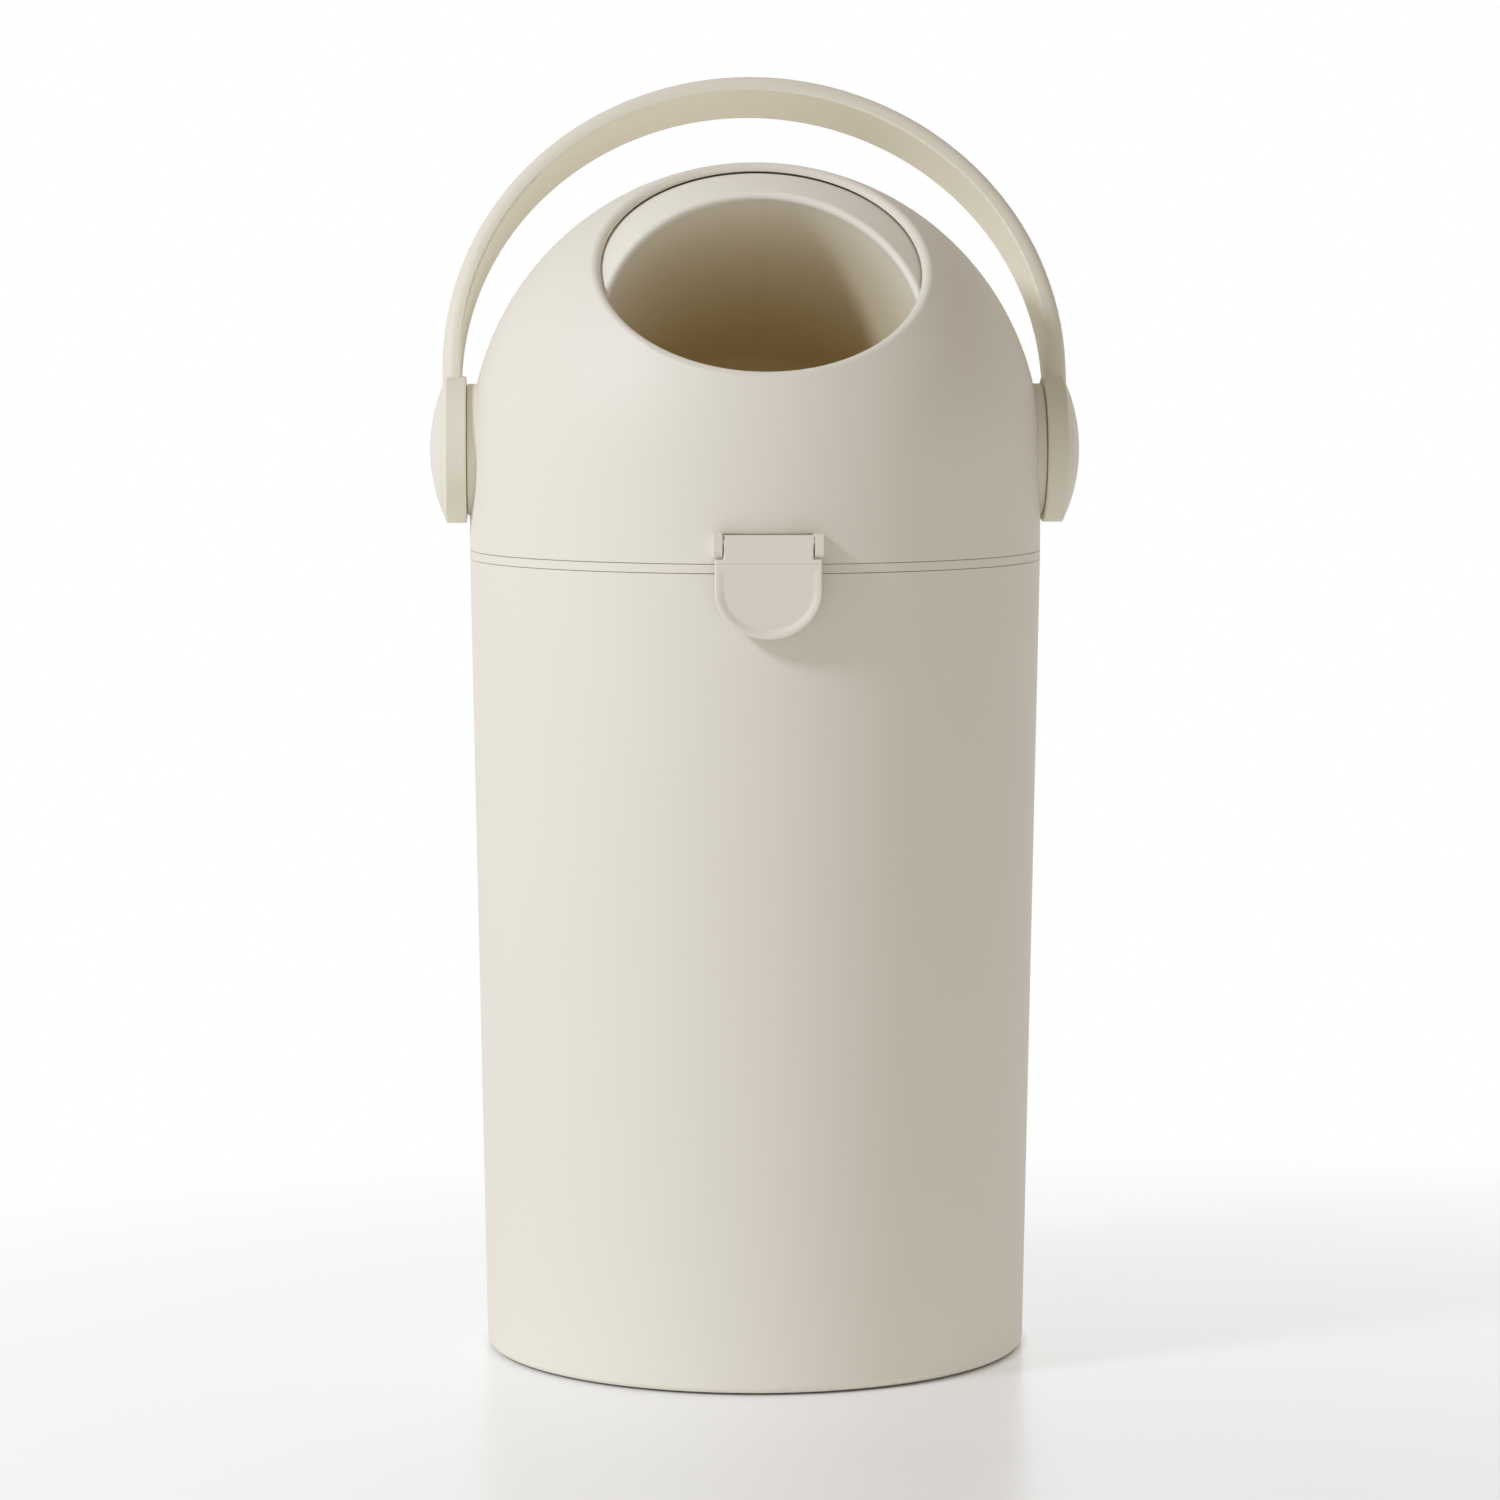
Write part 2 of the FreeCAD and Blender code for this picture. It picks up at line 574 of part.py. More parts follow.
def add_lid_lugs(body):
    """Side bosses, posts of the seal carrier, ears of the latch and knuckles of the hinge."""
    boss = outline(sketch_on(body, "boss_section", "XZ_Plane"), [
        (BOSS_INNER, "0"),
        (BOSS_FACE, "0"),
        (BOSS_FACE, "boss_radius - boss_round"),
        (f"{BOSS_FACE} - boss_round", "boss_radius", "boss_round"),
        (BOSS_INNER, "boss_radius"),
    ])
    boss_right = revolve(body, "boss", boss, axis="H_Axis")
    mirror(body, "bosses", [boss_right], True)
    post = sketch_on(body, "post_sketch", "XY_Plane", shift=CARRIER_TOP, turn="post_turn")
    box_outline(post, f"{CARRIER_INNER} + post_inset", "-post_width / 2",
                f"{LID_INSIDE} + lid_wall / 2", "post_width / 2")
    first_post = pad(body, "post", post, f"{POST_HOLE} + post_cap")
    repeat(body, "posts", [first_post], "Z_Axis", "post_count", True)
    ear_front = f"(-{PIN_FRONT} - ear_reach)"
    ear = outline(sketch_on(body, "ear_sketch", "YZ_Plane", shift=EAR_START), [
        ("lug_root - shell_radius", f"{LATCH_BELOW} + ear_rise"),
        (f"{ear_front} + ear_crown", f"{LATCH_BELOW} + ear_rise"),
        (ear_front, f"{LATCH_BELOW} + ear_rise - ear_crown", "ear_crown"),
        (ear_front, f"{LATCH_BELOW} + ear_round - ear_fall"),
        (f"{ear_front} + ear_round", f"{LATCH_BELOW} - ear_fall", "ear_round"),
        ("lug_root - shell_radius", f"{LATCH_BELOW} - ear_fall"),
    ])
    ear_right = pad(body, "ear", ear, "ear_width")
    mirror(body, "ears", [ear_right], True)
    arm = outline(sketch_on(body, "knuckle_sketch", "YZ_Plane", shift=LID_LUG_START), [
        (f"{HINGE_BACK} - knuckle_radius", HINGE_BELOW),
        (HINGE_BACK, f"{HINGE_BELOW} - knuckle_radius", "knuckle_radius"),
        (f"{HINGE_BACK} + knuckle_radius", HINGE_BELOW, "knuckle_radius"),
        (f"{HINGE_BACK} + knuckle_radius", f"{HINGE_BELOW} + lug_flat"),
        ("shell_radius - lug_root", f"{HINGE_BELOW} + lug_drop"),
        ("shell_radius - lug_root", LID_BOTTOM),
        (f"{HINGE_BACK} - knuckle_radius", LID_BOTTOM),
    ])
    knuckle = pad(body, "knuckle", arm, "lid_lug")
    mirror(body, "knuckles", [knuckle], True)


def cut_lid_holes(body):
    """Bores of the bushes, stop grooves, screw holes, the recess behind the latch and pin holes."""
    pin_hole(body, "bore", "0", "0", BORE_RADIUS)
    margin = "asin((stop_pin + stop_free) / stop_radius) / (1 deg)"
    stop = sketch_on(body, "stop_section", "XZ_Plane", turn=f"-(handle_lean + load_turn + {margin})",
                     about=(1, 0, 0))
    box_outline(stop, f"{BOSS_FACE} - stop_reach - stop_free", "-(stop_radius + stop_pin + stop_free)",
                BOSS_FACE, "-(stop_radius - stop_pin - stop_free)")
    groove = revolve(body, "stop_groove", stop, axis="H_Axis", cut=True,
                     angle=f"load_turn + drop_turn + 2 * {margin}")
    mirror(body, "stop_grooves", [groove], False)
    hole = sketch_on(body, "post_hole_sketch", "XY_Plane", shift=CARRIER_TOP, turn="post_turn")
    circle(hole, SCREW_CIRCLE, "0", "carrier_screw_radius + seat_fit")
    first_hole = pocket(body, "post_hole", hole, POST_HOLE, reverse=True)
    repeat(body, "post_holes", [first_hole], "Z_Axis", "post_count", False)
    recess = sketch_on(body, "recess_section", "YZ_Plane")
    box_outline(recess, f"-{PIN_FRONT}", LATCH_BELOW,
                "recess_depth - shell_radius", f"{LATCH_BELOW} + flap_barrel + recess_rise")
    revolve(body, "latch_recess", recess, cut=True, both=True,
            angle=f"2 * asin({EAR_START} / {PIN_FRONT}) / (1 deg)")
    pin_hole(body, "latch_hole", f"-{PIN_FRONT}", LATCH_BELOW, "latch_pin_radius + seat_fit")
    pin_hole(body, "hinge_hole", HINGE_BACK, HINGE_BELOW, "hinge_pin_radius + run_fit")


def make_lid_dome():
    """Lid: skirt, dome and mouth in one shell."""
    body = new_body("lid_dome", height=AXIS_HEIGHT)
    add_lid_shell(body)
    add_lid_lugs(body)
    cut_lid_holes(body)


def make_mouth_seal():
    """Rubber ring under the mouth's rim, close to the drum."""
    body = new_body("mouth_seal", height=AXIS_HEIGHT)
    inner = f"({RIM_INSIDE} - mouth_seal_thick)"
    outer = f"({RIM_INSIDE} - seat_fit)"
    first = "(mouth_angle + mouth_seal_inset)"
    last = "(mouth_angle + lip_span - mouth_seal_inset)"
    section = outline(sketch_on(body, "seal_section", "YZ_Plane", turn="90 - mouth_tilt"), [
        (*polar(inner, first),),
        (*polar(inner, last), f"-{inner}"),
        (*polar(outer, last),),
        (*polar(outer, first), outer),
    ])
    revolve(body, "seal", section)


def make_seal_carrier():
    """Ring that holds the drum's wiper and closes the lid's skirt from below."""
    body = new_body("seal_carrier", height=AXIS_HEIGHT)
    section = outline(sketch_on(body, "carrier_section", "XZ_Plane"), [
        (CARRIER_INNER, CARRIER_BOTTOM),
        (f"{LID_INSIDE} - carrier_fit", CARRIER_BOTTOM),
        (f"{LID_INSIDE} - carrier_fit", CARRIER_TOP),
        (CARRIER_INNER, CARRIER_TOP),
        (CARRIER_INNER, WIPER_TOP),
        (f"{CARRIER_INNER} + wiper_key", WIPER_TOP),
        (f"{CARRIER_INNER} + wiper_key", WIPER_BOTTOM),
        (CARRIER_INNER, WIPER_BOTTOM),
    ])
    revolve(body, "carrier", section)
    seat = sketch_on(body, "seat_sketch", "XY_Plane", shift=CARRIER_BOTTOM, turn="post_turn")
    circle(seat, SCREW_CIRCLE, "0", "carrier_screw_head + screw_free")
    first_seat = pocket(body, "seat", seat, "carrier_screw_head_height", reverse=True)
    hole = sketch_on(body, "hole_sketch", "XY_Plane", shift=CARRIER_BOTTOM, turn="post_turn")
    circle(hole, SCREW_CIRCLE, "0", "carrier_screw_radius + screw_free")
    first_hole = pocket(body, "hole", hole, reverse=True)
    repeat(body, "holes", [first_seat, first_hole], "Z_Axis", "post_count", False)


def make_drum_wiper_seal():
    """Rubber ring in the carrier, close to the drum."""
    body = new_body("drum_wiper_seal", height=AXIS_HEIGHT)
    section = outline(sketch_on(body, "wiper_section", "XZ_Plane"), [
        (f"sqrt({DRUM_RADIUS}^2 - {WIPER_BOTTOM}^2) + wiper_free", f"{WIPER_BOTTOM} + seat_fit"),
        (f"{CARRIER_INNER} + wiper_key - seat_fit", f"{WIPER_BOTTOM} + seat_fit"),
        (f"{CARRIER_INNER} + wiper_key - seat_fit", f"{WIPER_TOP} - seat_fit"),
        (f"sqrt({DRUM_RADIUS}^2 - {WIPER_TOP}^2) + wiper_free", f"{WIPER_TOP} - seat_fit"),
    ])
    revolve(body, "wiper", section)


def make_carrier_screws():
    """Screws that hold the carrier to the lid's posts."""
    body = new_body("carrier_screws", height=AXIS_HEIGHT)
    head = sketch_on(body, "head_sketch", "XY_Plane", shift=CARRIER_BOTTOM, turn="post_turn")
    circle(head, SCREW_CIRCLE, "0", "carrier_screw_head")
    first_head = pad(body, "head", head, "carrier_screw_head_height")
    shank = sketch_on(body, "shank_sketch", "XY_Plane", shift=f"{CARRIER_BOTTOM} + carrier_screw_head_height",
                      turn="post_turn")
    circle(shank, SCREW_CIRCLE, "0", "carrier_screw_radius")
    first_shank = pad(body, "shank", shank, "carrier_screw_length")
    repeat(body, "screws", [first_head, first_shank], "Z_Axis", "post_count", True)


def make_drum_bowl():
    """Front of the ball with the cup, the end discs and the square sockets of the axles."""
    body = new_body("drum_bowl", height=AXIS_HEIGHT)
    edge_across = f"(cup_radius + {CUP_ROUND})"
    edge_reach = f"({DRUM_RADIUS} - {CUP_ROUND})"
    edge_centre = f"sqrt({edge_reach}^2 - {edge_across}^2)"
    floor_centre = "(cup_floor_round - cup_depth)"
    section = outline(sketch_on(body, "bowl_section", "YZ_Plane", turn="90 - cup_tilt"), [
        (f"sqrt({DRUM_RADIUS}^2 - drum_split^2)", "-drum_split"),
        (f"{edge_across} * {DRUM_RADIUS} / {edge_reach}",
         f"{edge_centre} * {DRUM_RADIUS} / {edge_reach}", DRUM_RADIUS),
        ("cup_radius", edge_centre, CUP_ROUND),
        ("cup_floor_radius", floor_centre),
        ("cup_floor_radius - cup_floor_round", "-cup_depth", "-cup_floor_round"),
        ("0", "-cup_depth"),
        ("0", "-cup_depth - drum_wall"),
        ("cup_floor_radius - cup_floor_round", "-cup_depth - drum_wall"),
        ("cup_floor_radius + drum_wall", floor_centre, "cup_floor_round + drum_wall"),
        ("cup_radius + drum_wall", edge_centre),
        (f"{edge_across} * {DRUM_INSIDE} / {edge_reach}",
         f"{edge_centre} * {DRUM_INSIDE} / {edge_reach}", "-cup_inner_round"),
        (f"sqrt({DRUM_INSIDE}^2 - drum_split^2)", "-drum_split", f"-{DRUM_INSIDE}"),
    ])
    revolve(body, "bowl", section)
    disc = sketch_on(body, "disc_sketch", "YZ_Plane", shift=f"{DRUM_FLAT} - disc_wall")
    circle(disc, "0", "0", f"{FLAT_RADIUS} - disc_inset")
    disc_right = pad(body, "disc", disc, "disc_wall")
    boss_start = f"{DRUM_FLAT} - socket_depth - socket_wall"
    boss = sketch_on(body, "socket_boss_sketch", "YZ_Plane", shift=boss_start)
    circle(boss, "0", "0", "socket_boss")
    boss_right = pad(body, "socket_boss", boss, "socket_depth + socket_wall")
    mirror(body, "ends", [disc_right, boss_right], True)
    flat = sketch_on(body, "flat_sketch", "YZ_Plane", shift=DRUM_FLAT)
    circle(flat, "0", "0", f"{FLAT_RADIUS} + disc_wall")
    flat_right = pocket(body, "flat", flat, reverse=True)
    socket = sketch_on(body, "socket_sketch", "YZ_Plane", shift=DRUM_FLAT)
    half = "(axle_square / 2 + socket_fit)"
    box_outline(socket, f"-{half}", f"-{half}", half, half)
    socket_right = pocket(body, "socket", socket, "socket_depth")
    mirror(body, "sockets", [flat_right, socket_right], False)


def make_drum_back():
    """Closed back of the ball, with a tongue inside the bowl's edge."""
    body = new_body("drum_back", height=AXIS_HEIGHT)
    seam = "(drum_split + split_gap)"
    section = outline(sketch_on(body, "back_section", "YZ_Plane", turn="90 - cup_tilt"), [
        ("0", f"-{DRUM_RADIUS}"),
        (f"sqrt({DRUM_RADIUS}^2 - {seam}^2)", f"-{seam}", DRUM_RADIUS),
        (f"sqrt({DRUM_INSIDE}^2 - {seam}^2)", f"-{seam}"),
        ("0", f"-{DRUM_INSIDE}", f"-{DRUM_INSIDE}"),
    ])
    revolve(body, "back", section)
    tongue_outer = f"(sqrt({DRUM_INSIDE}^2 - drum_split^2) - tongue_gap)"
    tongue = sketch_on(body, "tongue_section", "YZ_Plane", turn="90 - cup_tilt")
    box_outline(tongue, f"{tongue_outer} - tongue_wall", "-drum_split - tongue_root",
                tongue_outer, "tongue_height - drum_split")
    revolve(body, "tongue", tongue)


def make_axle(label, side):
    """Stub axle: a square end in the drum, a round journal and a square end in the handle's hub."""
    body = new_body(label, height=AXIS_HEIGHT)
    leftwards = side < 0
    inner_end = f"({DRUM_FLAT} - socket_depth + axle_end_gap)"
    outer_end = f"({CAP_SEAT} - hub_web - axle_end_gap)"
    half = "axle_square / 2"
    square = sketch_on(body, "inner_square", "YZ_Plane", shift=f"{side} * {inner_end}")
    box_outline(square, f"-{half}", f"-{half}", half, half)
    pad(body, "drum_end", square, f"{DRUM_FLAT} - {inner_end}", reverse=leftwards)
    journal = sketch_on(body, "journal_sketch", "YZ_Plane", shift=f"{side} * {DRUM_FLAT}")
    circle(journal, "0", "0", "journal_radius")
    pad(body, "journal", journal, f"{JOURNAL_END} - {DRUM_FLAT}", reverse=leftwards)
    square = sketch_on(body, "outer_square", "YZ_Plane", shift=f"{side} * {JOURNAL_END}")
    box_outline(square, f"-{half}", f"-{half}", half, half)
    pad(body, "hub_end", square, f"{outer_end} - {JOURNAL_END}", reverse=leftwards)
    hole = sketch_on(body, "screw_hole_sketch", "YZ_Plane", shift=f"{side} * {outer_end}")
    circle(hole, "0", "0", "screw_radius + seat_fit")
    pocket(body, "screw_hole", hole, "screw_length", reverse=leftwards)


def make_pivot_bush(label, side):
    """Flanged plain bearing in the lid's boss."""
    body = new_body(label, height=AXIS_HEIGHT)
    section = outline(sketch_on(body, "bush_section", "XZ_Plane"), [
        (f"{side} * {BUSH_FACE}", BUSH_INNER),
        (f"{side} * {SEAL_FACE}", BUSH_INNER),
        (f"{side} * {SEAL_FACE}", BUSH_OUTER),
        (f"{side} * {BOSS_INNER}", BUSH_OUTER),
        (f"{side} * {BOSS_INNER}", "bush_flange_radius"),
        (f"{side} * {BUSH_FACE}", "bush_flange_radius"),
    ])
    revolve(body, "bush", section, axis="H_Axis")


def make_axle_seal(label, side):
    """Round-section rubber ring between axle and boss, outside the bush."""
    body = new_body(label, height=AXIS_HEIGHT)
    section = sketch_on(body, "seal_section", "XZ_Plane")
    circle(section, f"{side} * ({BOSS_FACE} - axle_seal_room / 2)", f"(journal_radius + {BORE_RADIUS}) / 2",
           f"({BORE_RADIUS} - journal_radius) / 2 - axle_seal_free")
    revolve(body, "seal", section, axis="H_Axis")


def add_handle_solid(body):
    """Arch, straight arms and domed hub discs of the handle."""
    disc = outline(sketch_on(body, "hub_section", "XZ_Plane"), [
        (HUB_INNER, "0"),
        (DOME_TOP, "0"),
        (HUB_OUTER, "hub_radius - hub_round", DOME_RADIUS),
        (f"{HUB_OUTER} - hub_round", "hub_radius", "hub_round"),
        (f"{HUB_INNER} + hub_round", "hub_radius"),
        (HUB_INNER, "hub_radius - hub_round", "hub_round"),
    ])
    hub = revolve(body, "hub", disc, axis="H_Axis")
    arch_inner = f"({ARCH_RADIUS} - arm_thick)"
    section = outline(sketch_on(body, "arm_section", "XY_Plane", shift="arm_rise"), [
        (f"{arch_inner} + arm_edge", "-arm_width / 2", "arm_edge"),
        (f"{ARCH_RADIUS} - arm_crown", "-arm_width / 2"),
        (ARCH_RADIUS, "arm_crown - arm_width / 2", "arm_crown"),
        (ARCH_RADIUS, "arm_width / 2 - arm_crown"),
        (f"{ARCH_RADIUS} - arm_crown", "arm_width / 2", "arm_crown"),
        (f"{arch_inner} + arm_edge", "arm_width / 2"),
        (arch_inner, "arm_width / 2 - arm_edge", "arm_edge"),
        (arch_inner, "arm_edge - arm_width / 2"),
    ])
    arm = pad(body, "arm", section, "arm_rise", reverse=True)
    mirror(body, "sides", [hub, arm], True)
    revolve(body, "arch", section, angle="180", reverse=True)


def cut_handle_hubs(body):
    """Seats of the caps, square sockets of the axles, screw holes and the holes of the caps' pegs."""
    seat = sketch_on(body, "cap_seat_sketch", "YZ_Plane", shift=CAP_SEAT)
    circle(seat, "0", "0", "cap_radius + cap_gap")
    cap_seat = pocket(body, "cap_seat", seat, reverse=True)
    socket = sketch_on(body, "socket_sketch", "YZ_Plane", shift=HUB_INNER, turn="handle_lean")
    half = "(axle_square / 2 + socket_fit)"
    box_outline(socket, f"-{half}", f"-{half}", half, half)
    square = pocket(body, "socket", socket, f"{CAP_SEAT} - hub_web - {HUB_INNER}", reverse=True)
    hole = circle(sketch_on(body, "screw_hole_sketch", "YZ_Plane", shift=HUB_INNER), "0", "0",
                  "screw_radius + screw_free")
    screw_hole = pocket(body, "screw_hole", hole, reverse=True)
    mirror(body, "hub_cuts", [cap_seat, square, screw_hole], False)
    for word, side in (("right", 1), ("left", -1)):
        peg = sketch_on(body, f"peg_hole_{word}_sketch", "YZ_Plane", shift=f"{side} * {CAP_SEAT}")
        circle(peg, "0", "peg_circle", "peg_radius + seat_fit")
        first = pocket(body, f"peg_hole_{word}", peg, "peg_length + axle_end_gap", reverse=side < 0)
        repeat(body, f"peg_holes_{word}", [first], "X_Axis", "peg_count", False)


def make_handle():
    """Bail handle with its hubs and the stop pins that run in the lid's grooves."""
    body = new_body("handle", height=AXIS_HEIGHT, lean="-handle_lean")
    add_handle_solid(body)
    cut_handle_hubs(body)
    stop = sketch_on(body, "stop_sketch", "YZ_Plane", shift=HUB_INNER)
    circle(stop, "0", "-stop_radius", "stop_pin")
    stop_right = pad(body, "stop", stop, "hub_gap + stop_reach", reverse=True)
    mirror(body, "stops", [stop_right], True)


def make_hub_screw(label, side):
    """Pan head screw that holds a hub on its axle."""
    body = new_body(label, height=AXIS_HEIGHT)
    section = outline(sketch_on(body, "screw_section", "XZ_Plane"), [
        (f"{side} * ({CAP_SEAT} - screw_length)", "0"),
        (f"{side} * ({CAP_SEAT} - screw_length)", "screw_radius"),
        (f"{side} * {CAP_SEAT}", "screw_radius"),
        (f"{side} * {CAP_SEAT}", "screw_head"),
        (f"{side} * ({CAP_SEAT} + screw_head_height / 2)", "screw_head"),
        (f"{side} * ({CAP_SEAT} + screw_head_height)", "screw_head - screw_head_height / 2",
         f"-{side} * screw_head_height / 2"),
        (f"{side} * ({CAP_SEAT} + screw_head_height)", "0"),
    ])
    revolve(body, "screw", section, axis="H_Axis")


def make_hub_cap(label, side):
    """Domed cap over a hub's screw, held by pegs."""
    body = new_body(label, height=AXIS_HEIGHT, lean="-handle_lean")
    hollow_end = f"({DOME_CENTRE} + sqrt(({DOME_RADIUS} - cap_wall)^2 - cap_hollow^2))"
    edge_end = f"({DOME_CENTRE} + sqrt({DOME_RADIUS}^2 - (cap_radius - cap_round)^2))"
    section = outline(sketch_on(body, "cap_section", "XZ_Plane"), [
        (f"{side} * {CAP_SEAT}", "cap_hollow"),
        (f"{side} * {CAP_SEAT}", "cap_radius"),
        (f"{side} * ({edge_end} - cap_round)", "cap_radius"),
        (f"{side} * {edge_end}", "cap_radius - cap_round", f"-{side} * cap_round"),
        (f"{side} * {DOME_TOP}", "0", f"-{side} * {DOME_RADIUS}"),
        (f"{side} * ({DOME_TOP} - cap_wall)", "0"),
        (f"{side} * {hollow_end}", "cap_hollow", f"{side} * ({DOME_RADIUS} - cap_wall)"),
    ])
    revolve(body, "cap", section, axis="H_Axis")
    peg = circle(sketch_on(body, "peg_sketch", "YZ_Plane", shift=f"{side} * {CAP_SEAT}"), "0", "peg_circle",
                 "peg_radius")
    first = pad(body, "peg", peg, "peg_length", reverse=side > 0)
    repeat(body, "pegs", [first], "X_Axis", "peg_count", True)


def d_end(half, bow, corner):
    """Lower end of a D shape about the flap's own centre: a wide arc between two corner arcs."""
    centre = "(flap_half + bow_more - flap_length)"
    corner_across = f"({half} - {corner})"
    corner_height = f"({centre} - sqrt(({bow} - {corner})^2 - {corner_across}^2))"
    meet_across = f"({corner_across} * {bow} / ({bow} - {corner}))"
    meet_height = f"({centre} - sqrt({bow}^2 - {meet_across}^2))"
    return [
        (f"-{half}", corner_height),
        (f"-{meet_across}", meet_height, corner),
        (meet_across, meet_height, bow),
        (half, corner_height, corner),
    ]


def make_latch_flap():
    """D-shaped flap with its barrel, the sloping dish on the front and the hook behind."""
    body = new_body("latch_flap", back=f"-{PIN_FRONT}", height=LATCH_HEIGHT)
    flap_back = "(flap_barrel - flap_thick)"
    bow = "(flap_half + bow_more)"
    corner = "(flap_half - corner_less)"
    plate = outline(sketch_on(body, "plate_sketch", "XZ_Plane", shift=flap_back), [
        (FLAP_NECK, "0"),
        (f"-{FLAP_NECK}", "0"),
        (f"-{FLAP_NECK}", "neck_round - flap_shoulder"),
        (f"-{FLAP_NECK} - neck_round", "-flap_shoulder", "-neck_round"),
        ("-flap_half", "-flap_shoulder"),
        *d_end("flap_half", bow, corner),
        ("flap_half", "-flap_shoulder"),
        (f"{FLAP_NECK} + neck_round", "-flap_shoulder"),
        (FLAP_NECK, "neck_round - flap_shoulder", "-neck_round"),
    ])
    pad(body, "plate", plate, "flap_thick")
    front = -size("flap_barrel")
    shoulder = -size("flap_shoulder")

    def on_front_edge(edge):
        box = edge.BoundBox
        on_front = abs(box.YMin - front) < LEVEL and abs(box.YMax - front) < LEVEL
        return on_front and box.ZMax < shoulder + LEVEL

    soften(body, "plate_round", "flap_round", on_front_edge)
    barrel = circle(sketch_on(body, "barrel_sketch", "YZ_Plane"), "0", "0", "flap_barrel")
    pad(body, "barrel", barrel, f"2 * {FLAP_NECK}", both=True)
    dish = sketch_on(body, "dish_sketch", "XZ_Plane", shift="flap_barrel + dish_start * tan(dish_tilt)",
                     turn="dish_tilt", about=(1, 0, 0))
    outline(dish, [
        ("flap_half - dish_side", "-dish_start"),
        ("dish_side - flap_half", "-dish_start"),
        *d_end("(flap_half - dish_side)", f"({bow} - dish_end)", f"({corner} - dish_side)"),
    ])
    pocket(body, "dish", dish, reverse=True)
    hook = sketch_on(body, "hook_sketch", "XZ_Plane", shift=f"{flap_back} + flap_thick / 4")
    box_outline(hook, "-hook_width / 2", "-hook_drop - hook_height", "hook_width / 2", "-hook_drop")
    pad(body, "hook", hook, "hook_reach + flap_thick / 4", reverse=True)
    pin_hole(body, "latch_hole", "0", "0", "latch_pin_radius + run_fit")


def make_pin(label, back, height, radius, half_length):
    """Plain pin along X."""
    body = new_body(label, back=back, height=height)
    section = circle(sketch_on(body, "pin_sketch", "YZ_Plane"), "0", "0", radius)
    pad(body, "pin", section, f"2 * ({half_length} - pin_short)", both=True)


make_pail_body()
make_base_grip_ring()
make_bag_ring()
make_lid_gasket()
make_lid_dome()
make_mouth_seal()
make_seal_carrier()
make_drum_wiper_seal()
make_carrier_screws()
make_drum_bowl()
make_drum_back()
make_handle()
for word, side in (("right", 1), ("left", -1)):
    make_axle(f"axle_{word}", side)
    make_pivot_bush(f"pivot_bush_{word}", side)
    make_axle_seal(f"axle_seal_{word}", side)
    make_hub_screw(f"hub_screw_{word}", side)
    make_hub_cap(f"hub_cap_{word}", side)
make_latch_flap()
make_pin("latch_pin", f"-{PIN_FRONT}", LATCH_HEIGHT, "latch_pin_radius", f"({EAR_START} + ear_width)")
make_pin("lid_hinge_pin", HINGE_BACK, HINGE_HEIGHT, "hinge_pin_radius", f"({PAIL_LUG_START} + pail_lug)")

doc.recompute()
for item in doc.Objects:
    if "Invalid" in item.State or "Error" in item.State:
        raise RuntimeError("%s is not up to date: %s" % (item.Label, item.State))
bodies = [item for item in doc.Objects if item.TypeId == "PartDesign::Body"]
for body in bodies:
    if body.Shape.isNull() or not body.Shape.isValid():
        raise RuntimeError("%s has no valid shape" % body.Label)
os.makedirs("parts", exist_ok=True)
for body in bodies:
    body.Shape.exportStep(os.path.join("parts", body.Label + ".step"))
    print("%s: %d solid(s), %.1f cm3" % (body.Label, len(body.Shape.Solids), body.Shape.Volume / 1000))
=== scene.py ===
# %% [markdown]
# # A cream diaper pail
# The pail is all moulded plastic: a tapered body, a bag ring, a domed lid with a round mouth, a ball drum
# with a cup, a bail handle and a latch flap. Its solids come from CAD as a fixed frame, in metres, with +Z
# up and the mouth facing -Y. This lesson dresses that frame: it gives every piece its finish, remodels the
# flap with the soft edges and the finger dish of the real one, and lights it all as in a small studio.

# %% Load the frame
import json
import math

import bmesh
import bpy
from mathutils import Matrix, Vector


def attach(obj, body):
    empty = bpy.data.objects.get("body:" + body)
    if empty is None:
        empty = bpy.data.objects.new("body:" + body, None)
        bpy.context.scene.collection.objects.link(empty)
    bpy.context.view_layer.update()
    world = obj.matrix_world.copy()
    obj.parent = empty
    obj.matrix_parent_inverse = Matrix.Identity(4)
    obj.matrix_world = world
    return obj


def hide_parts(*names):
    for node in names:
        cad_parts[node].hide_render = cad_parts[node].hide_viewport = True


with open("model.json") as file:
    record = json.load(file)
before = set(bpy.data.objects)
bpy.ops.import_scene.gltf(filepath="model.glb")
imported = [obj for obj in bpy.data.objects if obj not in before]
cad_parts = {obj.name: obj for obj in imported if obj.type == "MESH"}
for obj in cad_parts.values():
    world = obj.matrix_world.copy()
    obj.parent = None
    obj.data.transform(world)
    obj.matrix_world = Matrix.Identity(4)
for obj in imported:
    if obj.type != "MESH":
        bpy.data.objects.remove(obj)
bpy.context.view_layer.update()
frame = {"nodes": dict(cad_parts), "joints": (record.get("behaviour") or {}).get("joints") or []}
MM = 0.001

# %% [markdown]
# ## The grain of moulded plastic
# The tool that moulds such a pail is spark-eroded, so the plastic has a fine, even grain that breaks up every
# reflection. Up close there is also a faint cloudiness in the colour. Both could be painted on an image, but
# noise in the piece's own coordinates stays sharp at any distance. Several finishes share the effect, so it
# is built once, as a node group with named sockets. Two small helpers keep the making of nodes short.


# %% Helpers for nodes
def add_node(tree, kind, place, **inputs):
    """New node at a place in the editor, with values set on the sockets that are named."""
    node = tree.nodes.new(kind)
    node.location = place
    for name, value in inputs.items():
        node.inputs[name.replace("_", " ")].default_value = value
    return node


